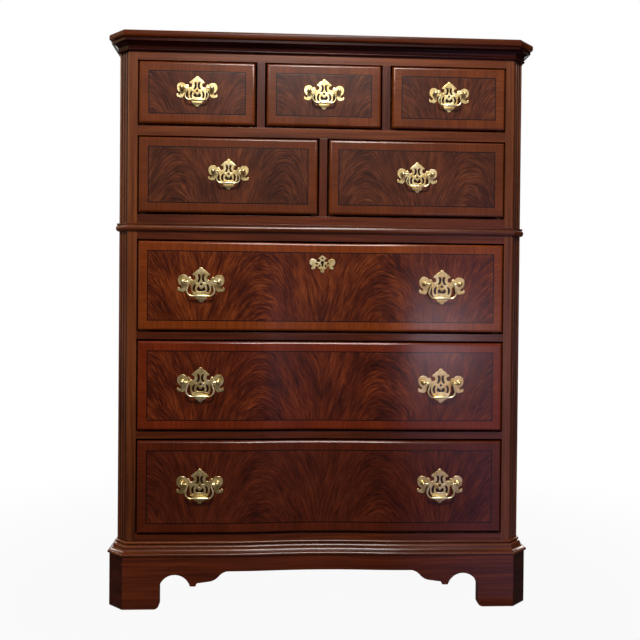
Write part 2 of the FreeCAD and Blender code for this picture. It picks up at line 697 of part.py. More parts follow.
def make_post(kind):
    """A turned post: shank through the front, collar on the plate, neck and a ball bored for the bail."""
    body = doc.addObject("PartDesign::Body", f"{kind}_post_turned")
    sketch = sketch_on(body, "XY_Plane", "0")
    tail = f"size.{kind}_front_thickness + size.nut_thickness + size.shank_tail"
    collar = "-size.plate_thickness - size.collar_thickness"
    meeting = "-place.pivot + sqrt(size.head_radius ^ 2 - size.neck_radius ^ 2)"
    trace(sketch, [[
        ("0", tail), ("size.shank_radius", tail), ("size.shank_radius", "-size.plate_thickness"),
        ("size.collar_radius", "-size.plate_thickness"), ("size.collar_radius", collar),
        ("size.neck_radius", collar), ("size.neck_radius", meeting),
        ("0", "-place.pivot - size.head_radius", "size.head_radius", "-place.pivot"),
    ]])
    turned = body.newObject("PartDesign::Revolution", f"{kind}_post_turning")
    turned.Profile = sketch
    turned.ReferenceAxis = (sketch, ["V_Axis"])
    bored = ("-size.head_radius - size.overrun", "size.head_radius / 2 + size.bail_play")
    bore = bar(f"{kind}_post_bore", bored, "-place.pivot", "0",
               f"size.{kind}_bail_rod_radius + size.bail_play", "X")
    return seat(cut(f"{kind}_post", body, [bore]), f"size.{kind}_post_spacing / 2")


def make_nut(kind):
    """A six-sided nut on the shank, behind the drawer front."""
    block = doc.addObject("Part::Prism", f"{kind}_nut_block")
    block.Polygon = 6
    block.setExpression("Circumradius", "size.nut_radius")
    block.setExpression("Height", "size.nut_thickness")
    block.Placement = FreeCAD.Placement(FreeCAD.Vector(), FreeCAD.Rotation(FreeCAD.Vector(1, 0, 0), -90))
    bore = bar(f"{kind}_nut_bore", "0", ("-size.overrun", "size.nut_thickness + size.overrun"), "0",
               "size.shank_radius + size.shank_clearance", "Y")
    nut = cut(f"{kind}_nut", block, [bore])
    return seat(nut, f"size.{kind}_post_spacing / 2", f"size.{kind}_front_thickness")


def make_bail(kind):
    """A bent bail: pins in the posts, flared legs, round corners and a swelled grip."""
    sizes = {word: number(f"size.{kind}_bail_{word}") for word in
             ("drop", "shoulder", "shoulder_radius", "corner", "corner_radius")}
    end = f"size.{kind}_post_spacing / 2 + size.head_radius / 2"
    shoulder = FreeCAD.Vector(sizes["shoulder"], -sizes["shoulder_radius"], 0)
    corner = FreeCAD.Vector(sizes["corner"], sizes["corner_radius"] - sizes["drop"], 0)
    between = shoulder - corner
    lean = math.atan2(between.y, between.x) - math.acos(
        (sizes["shoulder_radius"] + sizes["corner_radius"]) / between.Length)
    across = FreeCAD.Vector(math.cos(lean), math.sin(lean), 0)
    up = FreeCAD.Vector(0, 0, 1)
    leg_top = shoulder - across * sizes["shoulder_radius"]
    leg_foot = corner + across * sizes["corner_radius"]
    start = FreeCAD.Vector(sizes["shoulder"], 0, 0)
    finish = FreeCAD.Vector(sizes["corner"], -sizes["drop"], 0)
    shapes = [
        Part.LineSegment(point(end, "0"), start),
        Part.ArcOfCircle(Part.Circle(shoulder, up, sizes["shoulder_radius"]), math.pi / 2, math.pi + lean),
        Part.LineSegment(leg_top, leg_foot),
        Part.ArcOfCircle(Part.Circle(corner, up, sizes["corner_radius"]), -math.pi / 2, lean),
        Part.LineSegment(finish, FreeCAD.Vector(0, -sizes["drop"], 0)),
    ]
    rule = Sketcher.Constraint
    joins = ((0, 2, 1, 1), (1, 2, 2, 1), (2, 2, 3, 2), (3, 1, 4, 1))
    rules = [(rule("Tangent", *ends), None) for ends in joins]
    rules += [(rule("Horizontal", 0), None), (rule("Horizontal", 4), None)]
    fix_place(rules, 0, 1, end, "0")
    fix_place(rules, 4, 2, "0", f"-size.{kind}_bail_drop")
    for shape, word in ((1, "shoulder"), (3, "corner")):
        across_text, radius_text = f"size.{kind}_bail_{word}", f"size.{kind}_bail_{word}_radius"
        rules.append((rule("DistanceX", -1, 1, shape, 3, number(across_text)), across_text))
        rules.append((rule("Radius", shape, number(radius_text)), radius_text))
    body = doc.addObject("PartDesign::Body", f"{kind}_bail")
    path = sketch_on(body, "XZ_Plane", "0")
    apply_sketch(path, shapes, rules)
    section = sketch_on(body, "YZ_Plane", end)
    trace(section, [[("0", "0", f"size.{kind}_bail_rod_radius")]])
    body.recompute(True)
    rod = body.newObject("PartDesign::AdditivePipe", f"{kind}_bail_rod")
    rod.Profile = section
    rod.Spine = (path, [])
    add_mirror(body)
    body.recompute(True)
    belly = sketch_on(body, "XZ_Plane", "0")
    belly.setExpression("AttachmentOffset.Base.y", f"-size.{kind}_bail_drop")
    long = f"size.{kind}_bail_belly_half"
    trace(belly, [[(long, "0"), (f"-{long}", "0", "0", f"size.{kind}_bail_belly_radius")]])
    swell = body.newObject("PartDesign::Revolution", f"{kind}_bail_belly")
    swell.Profile = belly
    swell.ReferenceAxis = (belly, ["H_Axis"])
    body.Tip = swell
    return body


def make_hardware(kind):
    """The pieces of one pull at its own origin, the pivot's height on the drawer's face."""
    post, nut = make_post(kind), make_nut(kind)
    pieces = [make_plate(kind), post, mirrored(f"{kind}_post_left", post),
              nut, mirrored(f"{kind}_nut_left", nut)]
    return pieces, make_bail(kind)


def make_drawer(word, row, rail, kind, index, count, hardware, bail):
    """One drawer: front, box and pulls, with its bails as pieces of their own."""
    left, right = opening(index, count)
    left, right = f"{left} + size.drawer_gap", f"{right} - size.drawer_gap"
    middle = f"({left} + {right}) / 2"
    floor, foot = f"place.{rail}_top + size.seat_clearance", f"place.{rail}_top + size.drawer_gap"
    top = f"{foot} + size.{row}_height"
    front, back = "place.face - size.drawer_proud", f"place.{kind}_front_back"
    if kind == "large":
        board = blocked_board(f"{word}_board", right, front, back, foot, top)
        places = [("left_", f"{middle} - size.large_pull_place"),
                  ("right_", f"{middle} + size.large_pull_place")]
    else:
        corners = [(left, back), (left, front), (right, front), (right, back)]
        board = prism(f"{word}_board", "XY_Plane", [corners], foot, top)
        places = [("", middle)]
    rims = (("x", left), ("x", right), ("z", foot), ("z", top))

    def shows(edge):
        forward = middle_of(edge).y < number(f"({front} + {back}) / 2")
        return forward and not runs_front_to_back(edge) and any(lies_at(edge, *rim) for rim in rims)

    ease(board, "size.front_edge_radius", shows)
    pivot_height = f"({foot} + {top}) / 2 + size.{kind}_pull_rise"
    holes = []
    mounts = []
    for hand, x in places:
        for sign in "-+":
            holes.append(bar(f"{word}_{hand}hole", f"{x} {sign} size.{kind}_post_spacing / 2",
                             (f"{front} - size.overrun", f"{back} + size.overrun"), pivot_height,
                             "size.shank_radius + size.shank_clearance", "Y"))
        mounts.append(seat(group(f"{word}_{hand}mount", hardware), x, front, pivot_height))
        hung = seat(group(f"{word}_{hand}bail", [bail]), x, f"{front} - place.pivot", pivot_height)
        node(hung, f"{word}_{hand}bail")
    if word == "third":
        holes += make_key_way(front, back)
    node(cut(f"{word}_front", board, holes), f"{word}_drawer_front")
    node(mounts[0] if len(mounts) == 1 else group(f"{word}_mounts", mounts), f"{word}_pull_mounts")
    make_drawer_box(word, left, right, floor, f"{top} - size.drawer_side_drop", back)


def make_drawer_box(word, left, right, floor, rim, front_back):
    """Two sides, a back and a bottom, butted together behind the front."""
    thick = "size.drawer_side_thickness"
    inner = (f"{left} + {thick}", f"{right} - {thick}")
    deep = (front_back, "place.tail")
    bottom = (f"{floor} + size.drawer_bottom_rise",
              f"{floor} + size.drawer_bottom_rise + size.drawer_bottom_thickness")
    pieces = [
        box(f"{word}_left_side", (left, inner[0]), deep, (floor, rim)),
        box(f"{word}_right_side", (inner[1], right), deep, (floor, rim)),
        box(f"{word}_back", inner, (f"place.tail - {thick}", "place.tail"), (bottom[1], rim)),
        box(f"{word}_bottom", inner, deep, bottom),
    ]
    node(group(f"{word}_box", pieces), f"{word}_drawer_box")


def make_key_way(front, back):
    """The key's way through the front: a round bore with a slot below it."""
    deep = (f"{front} - size.overrun", f"{back} + size.overrun")
    bore = bar("key_bore", "0", deep, "place.key_height", "size.key_hole_radius", "Y")
    slot = box("key_slot", ("-size.key_slot_width / 2", "size.key_slot_width / 2"), deep,
               ("place.key_height - size.key_slot_length", "place.key_height"))
    way = doc.addObject("Part::Fuse", "key_way")
    way.Base = bore
    way.Tool = slot
    return [way]


def make_lock():
    """Escutcheon on the third drawer, and behind it a lock case with its sliding bolt."""
    wide, high = "size.escutcheon_width / 2", "size.escutcheon_height"
    foot = f"-({KEY_HEIGHT_SHARE}) * {high}"
    jaw = "size.key_slot_width / 2"
    meeting = "-sqrt(size.key_hole_radius ^ 2 - (size.key_slot_width / 2) ^ 2)"
    key_hole = [("0", "-size.key_slot_length"), (jaw, "-size.key_slot_length"), (jaw, meeting),
                ("0", "size.key_hole_radius", "size.key_hole_radius", "0")]
    edge, eye, hole, crescent = (
        scaled(shares, wide, high, "0", foot)
        for shares in (ESCUTCHEON_SHARES, ESCUTCHEON_EYE_SHARES, ESCUTCHEON_HOLE_SHARES,
                       ESCUTCHEON_CRESCENT_SHARES))
    outlines = [edge + key_hole + eye, hole, crescent]
    plate = add_mirror(prism("escutcheon_plate", "XZ_Plane", outlines, "-size.escutcheon_thickness", "0"))
    seat(plate, "0", "place.escutcheon_back", "place.key_height")
    node(plate, "escutcheon")

    across = ("-size.lock_width / 2", "size.lock_width / 2")
    deep = ("place.large_front_back", "place.large_front_back + size.lock_depth")
    case = box("lock_block", across, deep, ("place.lock_top - size.lock_height", "place.lock_top"))
    room = bolt_room("lock_room", "place.lock_top - size.bolt_length - size.seat_clearance",
                     "place.lock_top + size.overrun")
    node(cut("lock_case_cut", case, [room]), "lock_case")
    bolt = box("bolt", ("-size.bolt_width / 2", "size.bolt_width / 2"),
               ("place.bolt_front", "place.bolt_back"),
               ("place.lock_top - size.bolt_length", "place.lock_top"))
    node(bolt, "lock_bolt")


def make_chest():
    make_posts()
    make_case()
    make_inside()
    make_top()
    wedges = make_wedges()
    make_moulding("cornice", wedges, CORNICE_SHARES, "size.cornice_projection", "size.cornice_height",
                  "place.cornice_foot", [])
    make_moulding("waist", wedges, WAIST_SHARES, "size.waist_projection", "size.waist_height",
                  "place.waist_foot", [])
    make_moulding("base", wedges, BASE_SHARES, "size.base_projection", "size.base_height",
                  "size.plinth_height", block_curve("place.face"))
    make_brackets()
    sets = {kind: make_hardware(kind) for kind in ("small", "large")}
    for row, rail, kind, names in ROWS:
        for index, word in enumerate(names):
            make_drawer(word, row, rail, kind, index, len(names), *sets[kind])
    make_lock()


def write_nodes():
    """Checks every object and shape, then writes each sub-part."""
    doc.recompute()
    failed = [thing.Label for thing in doc.Objects if {"Invalid", "Error"} & set(thing.State)]
    failed += [thing.Label for thing in nodes if thing.Shape.isNull() or not thing.Shape.isValid()]
    if failed:
        raise RuntimeError(f"these did not build: {failed}")
    os.makedirs("parts", exist_ok=True)
    for thing in nodes:
        thing.Shape.exportStep(f"parts/{thing.Label}.step")
    print(f"{len(nodes)} nodes, {sum(len(thing.Shape.Solids) for thing in nodes)} solids")


make_chest()
write_nodes()
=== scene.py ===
import math

import bmesh
import bpy
from mathutils import Matrix, Vector


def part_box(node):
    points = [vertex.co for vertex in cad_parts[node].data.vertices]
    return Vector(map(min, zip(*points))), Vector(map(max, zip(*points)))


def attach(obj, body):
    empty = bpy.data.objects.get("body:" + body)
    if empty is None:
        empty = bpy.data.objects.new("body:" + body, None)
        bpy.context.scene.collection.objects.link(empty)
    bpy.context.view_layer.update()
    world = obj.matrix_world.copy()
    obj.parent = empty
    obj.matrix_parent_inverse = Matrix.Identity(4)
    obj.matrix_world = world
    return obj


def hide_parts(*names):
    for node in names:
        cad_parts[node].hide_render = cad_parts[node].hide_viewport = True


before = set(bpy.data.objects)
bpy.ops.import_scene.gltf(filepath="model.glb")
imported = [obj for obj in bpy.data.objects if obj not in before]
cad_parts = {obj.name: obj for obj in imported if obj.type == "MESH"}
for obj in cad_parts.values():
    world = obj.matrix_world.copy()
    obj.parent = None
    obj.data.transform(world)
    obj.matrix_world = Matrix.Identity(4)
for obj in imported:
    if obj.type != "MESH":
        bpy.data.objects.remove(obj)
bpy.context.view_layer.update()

MM = 0.001

# The case in plan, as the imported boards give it.
POST_LOW, POST_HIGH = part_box("left_corner_post")
FACE = POST_LOW.y
HALF = -POST_LOW.x
OPENING_HALF = -POST_HIGH.x
FRAME_BACK = POST_HIGH.y
CANT_LEG = 24 * MM
FRONT_HALF = HALF - CANT_LEG
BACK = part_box("back_boards")[1].y
MITRE = math.sqrt(2) - 1

# The soft hollow in the middle of the lower front.
HOLLOW_DEPTH = 9 * MM
HOLLOW_HALF = 205 * MM
HOLLOW_RADIUS = (HOLLOW_HALF ** 2 / 4 + HOLLOW_DEPTH ** 2 / 4) / HOLLOW_DEPTH
HOLLOW_SLICES = 48

# Workshop habits.
ARRIS, MOULDING_ARRIS, FOOT_ARRIS, BACK_ARRIS = 0.5 * MM, 0.35 * MM, 0.8 * MM, 1.2 * MM
FRONT_ROUND, TOP_ROUND, ROUND_SEGMENTS = 5.5 * MM, 6 * MM, 7
ARC_STEPS = 10
SAME = 0.01 * MM
SHARP_ANGLE, FLAT_ANGLE, SOFT_ANGLE, BAIL_SOFT_ANGLE = map(math.radians, (30, 0.5, 32, 50))

# Mouldings: corners as shares of projection and height; four numbers are an arc by way of the last two.
CORNICE = [(0, 0), (0, 1), (1, 1), (1, 0.77), (0.9, 0.77), (0.22, 0.27, 0.42, 0.63), (0.17, 0.24),
           (0.17, 0, 0.335, 0.12)]
WAIST = [(0, 0), (0, 1), (0.72, 1), (0.72, 0.78), (0.4, 0.78), (0.4, 0, 1, 0.39)]
BASE = [(0, 0), (0, 1), (0.1, 1), (0.1, 0.81, 0.23, 0.905), (0.07, 0.81), (0.07, 0.74), (0.2, 0.74),
        (0.4, 0.525, 0.345, 0.68), (0.745, 0.28, 0.501, 0.351), (0.84, 0.27), (0.84, 0.22),
        (0.9, 0.22), (0.9, 0, 1, 0.11)]
SCROLL = [(0.299, 0), (0.353, 0.146, 0.337, 0.043), (0.353, 0.6), (0.646, 0.606, 0.5, 0.915),
          (0.702, 0.606), (0.735, 0.695, 0.708, 0.668), (0.84, 0.735), (0.92, 0.866, 0.888, 0.79),
          (1, 1, 0.952, 0.945)]


def tone(red, green, blue):
    """A colour as the eye reads it, from 0 to 255, in the linear light that shaders take."""
    shares = [level / 255 for level in (red, green, blue)]
    return tuple(s / 12.92 if s <= 0.04045 else ((s + 0.055) / 1.055) ** 2.4 for s in shares) + (1.0,)


def tones(*colours):
    """The dark, middle and light of a finish."""
    return [tone(*colour) for colour in colours]


class Field:
    """A value that changes over a surface. Arithmetic on it adds Math nodes to its finish."""

    def __init__(self, finish, socket):
        self.finish = finish
        self.socket = socket

    def math(self, operation, *inputs):
        return self.finish.node("ShaderNodeMath", {"operation": operation}, dict(enumerate(inputs)))

    def __add__(self, other):
        return self.math("ADD", self, other)

    def __sub__(self, other):
        return self.math("SUBTRACT", self, other)

    def __rsub__(self, other):
        return self.math("SUBTRACT", other, self)

    def __mul__(self, other):
        return self.math("MULTIPLY", self, other)

    def __truediv__(self, other):
        return self.math("DIVIDE", self, other)

    def __pow__(self, other):
        return self.math("POWER", self, other)

    def __abs__(self):
        return self.math("ABSOLUTE", self)

    __radd__ = __add__
    __rmul__ = __mul__

    def sine(self):
        return self.math("SINE", self)

    def least(self, other):
        return self.math("MINIMUM", self, other)

    def most(self, other):
        return self.math("MAXIMUM", self, other)

    def rise(self, low, high):
        """0 below low, 1 above high, and a smooth climb between."""
        return self.finish.node("ShaderNodeMapRange", {"interpolation_type": "SMOOTHSTEP"},
                                {"Value": self, "From Min": low, "From Max": high})

    def shade(self, stops, colours):
        """A colour that changes through the given ones at the given values."""
        return self.finish.node("ShaderNodeValToRGB", {"stops": list(zip(stops, colours))}, {0: self})


class Nodes:
    """A tree of shader nodes, and the one way to add to it."""

    def __init__(self, tree):
        self.tree = tree

    def node(self, kind, settings=None, sockets=None, output=0):
        made = self.tree.nodes.new(kind)
        for key, value in (settings or {}).items():
            if key == "stops":
                self.set_stops(made.color_ramp, value)
            else:
                setattr(made, key, value)
        for key, value in (sockets or {}).items():
            self.feed(made.inputs[key], value)
        return Field(self, made.outputs[output])

    def set_stops(self, ramp, stops):
        while len(ramp.elements) < len(stops):
            ramp.elements.new(1.0)
        for element, (position, colour) in zip(ramp.elements, stops):
            element.position = position
            element.color = colour

    def feed(self, socket, value):
        if isinstance(value, Field):
            self.tree.links.new(value.socket, socket)
        else:
            socket.default_value = value

    def white_to_eye(self, dim, white, share):
        """A dim shader, but plain white by a share for rays that show the background."""
        camera, glossy, through = (self.node("ShaderNodeLightPath", output=f"Is {ray} Ray")
                                   for ray in ("Camera", "Glossy", "Transmission"))
        shown = camera.most(glossy).most(through) * share
        unseen = Field(self, dim.outputs[0])
        plain = self.node(white, None, {"Color": WHITE, "Strength": 1.0})
        return self.node("ShaderNodeMixShader", None, {0: shown, 1: unseen, 2: plain})


class Finish(Nodes):
    """A material with one Principled shader, and the nodes that feed it."""

    def __init__(self, name, **sockets):
        self.material = bpy.data.materials.new(name)
        self.material.use_nodes = True
        super().__init__(self.material.node_tree)
        self.shader = self.tree.nodes["Principled BSDF"]
        self.place = self.node("ShaderNodeTexCoord", output="Object")
        self.x, self.y, self.z = (self.along(axis, self.place) for axis in "XYZ")
        self.wear(**sockets)

    def wear(self, **sockets):
        """Sets or feeds the shader's own sockets, named in lower case with underscores."""
        names = {socket.name.lower().replace(" ", "_"): socket for socket in self.shader.inputs}
        for name, value in sockets.items():
            self.feed(names[name], value)

    def along(self, axis, vector):
        return self.node("ShaderNodeSeparateXYZ", None, {0: vector}, axis)

    def spot(self, x, y, z):
        return self.node("ShaderNodeCombineXYZ", None, {"X": x, "Y": y, "Z": z})

    def noise(self, spot, detail=2.0, roughness=0.5, scale=1.0):
        return self.node("ShaderNodeTexNoise", None,
                         {"Vector": spot, "Scale": scale, "Detail": detail, "Roughness": roughness})

    def grain(self, lie, scales, shift=(0.0, 0.0, 0.0), detail=2.0, roughness=0.5):
        """Noise drawn out along the lie of a grain, by its marks per metre along and across."""
        along, across = scales
        ways = [way * scale for way, scale in zip(lie, (along, across, across))]
        spot = self.spot(*(way + start if start else way for way, start in zip(ways, shift)))
        return self.noise(spot, detail, roughness)

    def blend(self, share, first, second):
        """Two colours mixed by a share."""
        return self.node("ShaderNodeMix", {"data_type": "RGBA"}, {0: share, 6: first, 7: second},
                         output=2)

    def dent(self, height, distance, strength):
        return self.node("ShaderNodeBump", None,
                         {"Height": height, "Distance": distance, "Strength": strength})


# Finishes

WHITE, BLACK = (1, 1, 1, 1), (0, 0, 0, 1)
POLISH = {"specular_ior_level": 0.24, "coat_weight": 0.29, "coat_roughness": 0.18}
WORN_POLISH = {"specular_ior_level": 0.1, "coat_weight": 0.07, "coat_roughness": 0.15}
RAIL_GLOSS, VENEER_GLOSS = 0.22, 0.2
HAZE_GLOSS, STREAK_GLOSS = 0.08, 0.05
PORE_DEPTH, STREAK_DEPTH = 0.12 * MM, 0.5


def polished(finish, streaks, pores, gloss):
    """French polish over open grain: faint pores in the surface and a gloss that isn't quite even."""
    haze = finish.noise(finish.place, detail=3.0, roughness=0.6, scale=7.0)
    finish.wear(roughness=gloss + HAZE_GLOSS * haze + STREAK_GLOSS * streaks,
                normal=finish.dent(streaks * STREAK_DEPTH - pores, PORE_DEPTH, strength=0.3))


# Painted shade: a dark tone laid over the posts' cants and flutes, and round the brasses' piercings.
PAINTED_SHADE_TONE = tone(30, 13, 8)
CANT_SHADE_SHARE, FLUTE_SHADE_SHARE = 0.12, 0.75
CANT_EDGE = 0.3 * MM, 1.2 * MM
FLUTE_SIDE = 0.9 * MM, 2.9 * MM


def painted_cant_shade(finish):
    """How much painted shade darkens a post: a thin film over its cant, thick in the flutes."""
    out, back = abs(finish.x) - FRONT_HALF, finish.y - FACE
    on_cant = out.rise(*CANT_EDGE) * (CANT_LEG - back).rise(*CANT_EDGE)
    return on_cant * (CANT_SHADE_SHARE + FLUTE_SHADE_SHARE * (back - out).rise(*FLUTE_SIDE))


# Straight grain: marks per metre along it and across it.
WANDER, STREAKS, BANDS, PORES = (3.0, 6.0), (4.5, 150.0), (1.6, 26.0), (70.0, 1500.0)
WANDER_WIDTH = 12 * MM
STREAK_SHARE, PORE_SHARE, PORE_EDGE = 0.6, 0.45, (0.6, 0.74)
STRAIGHT_STOPS = 0.36, 0.5, 0.64
# A moulding's grain follows it round the case, so it runs with y as well as x.
RUN_WITH_Y, RUN_THROUGH = 1.7, 0.2


def lie_of_grain(finish, along):
    """The ways along, across and through the wood, for grain along x, z or a moulding's run."""
    x, y, z = finish.x, finish.y, finish.z
    if along == "run":
        return x + RUN_WITH_Y * y, z, y * RUN_THROUGH
    return (x, z, y) if along == "x" else (z, x, y)


def straight_mahogany(name, along, colours, seed, polish=POLISH, shaded_by=None):
    """Plain mahogany with straight grain, and painted shade where a mask gives it."""
    finish = Finish(name, **polish)
    run, across, through = lie_of_grain(finish, along)
    wander = finish.grain((run, across, through), WANDER, (0.0, 0.0, seed))
    lie = run, across + WANDER_WIDTH * wander, through
    streaks = finish.grain(lie, STREAKS, (seed, 0.0, 0.0), detail=4.0, roughness=0.65)
    bands = finish.grain(lie, BANDS, (0.0, seed, 0.0))
    pores = finish.grain(lie, PORES, detail=1.0).rise(*PORE_EDGE)
    dark = colours[0]
    colour = (STREAK_SHARE * streaks + (1 - STREAK_SHARE) * bands).shade(STRAIGHT_STOPS, colours)
    colour = finish.blend(PORE_SHARE * pores, colour, dark)
    # Painted shade, laid where the mask gives it.
    if shaded_by:
        colour = finish.blend(shaded_by(finish), colour, PAINTED_SHADE_TONE)
    finish.wear(base_color=colour)
    polished(finish, streaks, pores, RAIL_GLOSS)
    return finish.material


# Flame figure: marks per metre over the leaf, and across the figure's lines.
BROAD, BESIDE, BETWEEN, FIBRE = (14.0, 18.0), (19.0, 56.0), (24.0, 165.0), (42.0, 470.0)
SWAY, RIPPLE = 9.0, 40.0
HEART_SWAY, LEVEL_SWAY, LEVEL_RIPPLE = 30 * MM, 50 * MM, 6 * MM
ARCH_HEIGHT, ARCH_POWER, ARCH_CROWN = 290 * MM, 0.8, (0.5, 0.95)
BROAD_SHARE, FEATHER_SHARE, FIBRE_SHARE = 0.24, 0.28, 0.48
CROWN_SHADE, FIGURE_LIFT = 0.02, 0.01
FIGURE_STOPS = 0.39, 0.5, 0.63


def flame_figure(finish, plume, period, seed):
    """Lines that rise steeply from a plume at each leaf's heart and arch over between the plumes.

    Beside a plume they stand close, so there the feather is drawn wider to keep its scale.
    Gives the figure, and the part of it that can be felt.
    """
    x, z = finish.x, finish.z
    sway, ripple = (finish.noise(finish.spot(x * scale, seed, z * scale)) - 0.5
                    for scale in (SWAY, RIPPLE))
    heart = x - plume + HEART_SWAY * sway
    arch = abs((heart * (math.pi / period)).sine()) ** ARCH_POWER
    level = z - ARCH_HEIGHT * arch + LEVEL_SWAY * sway + LEVEL_RIPPLE * ripple

    def lines(scales, detail=3.0, roughness=0.66):
        over, across = scales
        return finish.noise(finish.spot(x * over + seed, z * over, level * across), detail, roughness)

    broad = lines(BROAD, detail=2.0, roughness=0.5)
    beside, between = lines(BESIDE), lines(BETWEEN)
    feather = beside + arch.rise(*ARCH_CROWN) * (between - beside)
    fibre = lines(FIBRE, roughness=0.62)
    figure = BROAD_SHARE * broad + FEATHER_SHARE * feather + FIBRE_SHARE * fibre
    figure = figure - CROWN_SHADE * (arch ** 3.0) + FIGURE_LIFT
    return figure, 0.5 * feather + 0.5 * fibre


# The crossband and the dark line inside it.
BAND = 22 * MM
LINE_WIDTH, LINE_EDGE, LINE_SHARE, LINE_TONE = 2 * MM, 0.15 * MM, 0.96, tone(22, 6, 4)
CROSS_GRAIN, CROSS_LENGTH, CUTS = 260.0, 14.0, 14.0
CROSS_SHARE, CROSS_STOPS = 0.55, (0.34, 0.5, 0.66)
MITRE_EDGE = 0.2 * MM
RUBBED_EDGE, RUBBED_SHARE = (1 * MM, 4.5 * MM), 0.3
VENEER_EDGE = 1 * MM
# Painted shade round each brass: its greatest share, and where it fades out.
BRASS_SHADE_SHARE, BRASS_SHADE_RIM = 0.9, (0.8, 1.1)


def flame_veneer(name, low, high, plume, period, fields, bands, brasses, seed):
    """A drawer front's face: flame figure inside a dark line and a crossband, plain wood behind.

    Painted shade lies dark in the piercings of each brass, given by its middle and half its width and
    height.
    """
    finish = Finish(name, **POLISH)
    x, y, z = finish.x, finish.y, finish.z
    middle = (low + high) / 2
    side_gap = (high.x - low.x) / 2 - abs(x - middle.x)
    rail_gap = (high.z - low.z) / 2 - abs(z - middle.z)
    edge = side_gap.least(rail_gap)
    figure, felt = flame_figure(finish, plume, period, seed)
    field = figure.shade(FIGURE_STOPS, fields)

    # The crossband has short grain, square to the edge that it borders.
    upright = (rail_gap - side_gap).rise(-MITRE_EDGE, MITRE_EDGE)
    along = x + upright * (z - x)
    short_grain = finish.spot(along * CROSS_GRAIN, edge * CROSS_LENGTH, seed)
    cross = finish.noise(short_grain, detail=3.0, roughness=0.6)
    cuts = finish.noise(finish.spot(along * CUTS, 0.0, seed + 9.0))
    border = (CROSS_SHARE * cross + (1 - CROSS_SHARE) * cuts).shade(CROSS_STOPS, bands)

    inside = edge.rise(BAND - LINE_EDGE, BAND + LINE_EDGE)
    line = edge.rise(BAND - LINE_WIDTH - 2 * LINE_EDGE, BAND - LINE_WIDTH) - inside
    rubbed = 1.0 - edge.rise(*RUBBED_EDGE)
    behind = y.rise(high.y - 2 * VENEER_EDGE, high.y - VENEER_EDGE)
    plain, light = bands[1:]
    face = finish.blend(inside, border, field)
    face = finish.blend(line * LINE_SHARE, face, LINE_TONE)
    face = finish.blend(rubbed * RUBBED_SHARE, face, light)
    # Painted shade in the piercings of each brass, fading out towards an oval's rim.
    for brass_x, brass_z, wide, tall in brasses:
        spread = ((x - brass_x) / wide) ** 2.0 + ((z - brass_z) / tall) ** 2.0
        face = finish.blend(BRASS_SHADE_SHARE - BRASS_SHADE_SHARE * spread.rise(*BRASS_SHADE_RIM), face, PAINTED_SHADE_TONE)
    face = finish.blend(behind, face, plain)
    finish.wear(base_color=face)
    polished(finish, felt, line, VENEER_GLOSS)
    return finish.material


# Dry wood: marks per metre along the grain and across it.
RINGS, FLECKS = (1.6, 60.0), (40.0, 700.0)
RING_DEPTH = 0.3 * MM
DRY_STOPS = 0.35, 0.5, 0.66
DRY_TONES = tones((126, 88, 54), (158, 118, 78), (182, 146, 104))
FLECK_SHARE, FLECK_EDGE, FLECK_TONE = 0.35, (0.58, 0.72), tone(104, 70, 42)
STAIN_SHARE, STAIN_EDGE, STAIN_TONE = 0.4, (0.5, 0.75), tone(120, 84, 54)
FACING_FRONT = 0.6, 0.8


def drawer_wood(name, front_to_back=False):
    """The pale wood inside, without polish. Its grain runs along x, or front to back where it can."""
    finish = Finish(name, specular_ior_level=0.2)
    run, across, through = lie_of_grain(finish, "x")
    if front_to_back:
        facing = finish.along("Y", finish.node("ShaderNodeTexCoord", output="Normal"))
        beside = 1.0 - abs(facing).rise(*FACING_FRONT)
        run, through = run + beside * (through - run), through + beside * (run - through)
    lie = run, across, through
    rings = finish.grain(lie, RINGS, detail=4.0, roughness=0.6)
    flecks = finish.grain(lie, FLECKS).rise(*FLECK_EDGE)
    stain = finish.noise(finish.place, detail=3.0, scale=5.0).rise(*STAIN_EDGE)
    colour = rings.shade(DRY_STOPS, DRY_TONES)
    colour = finish.blend(FLECK_SHARE * flecks, colour, FLECK_TONE)
    colour = finish.blend(STAIN_SHARE * stain, colour, STAIN_TONE)
    finish.wear(base_color=colour, roughness=0.62 + 0.15 * rings,
                normal=finish.dent(rings, RING_DEPTH, strength=0.3))
    return finish.material


BRASS_STOPS, BRASS_SKIN_DEPTH = (0.34, 0.5, 0.66), 0.08 * MM
IRON_STOPS, IRON_TONES = (0.4, 0.6), tones((62, 58, 54), (92, 72, 56))
IRON_BLOOM_DEPTH = 0.2 * MM


def aged_brass(name, colours, gloss):
    """Cast and polished brass, its tone clouded, with a fine skin felt in the surface."""
    finish = Finish(name, metallic=0.82)
    cloud = finish.noise(finish.place, detail=4.0, roughness=0.6, scale=55.0)
    skin = finish.noise(finish.place, detail=3.0, roughness=0.6, scale=900.0)
    finish.wear(base_color=cloud.shade(BRASS_STOPS, colours), roughness=gloss + 0.2 * cloud,
                normal=finish.dent(skin, BRASS_SKIN_DEPTH, strength=0.3))
    return finish.material


def old_iron(name):
    """Dark lock iron with a brown bloom."""
    finish = Finish(name, metallic=0.9)
    bloom = finish.noise(finish.place, detail=5.0, roughness=0.65, scale=60.0)
    finish.wear(base_color=bloom.shade(IRON_STOPS, IRON_TONES), roughness=0.42 + 0.25 * bloom,
                normal=finish.dent(bloom, IRON_BLOOM_DEPTH, strength=0.4))
    return finish.material


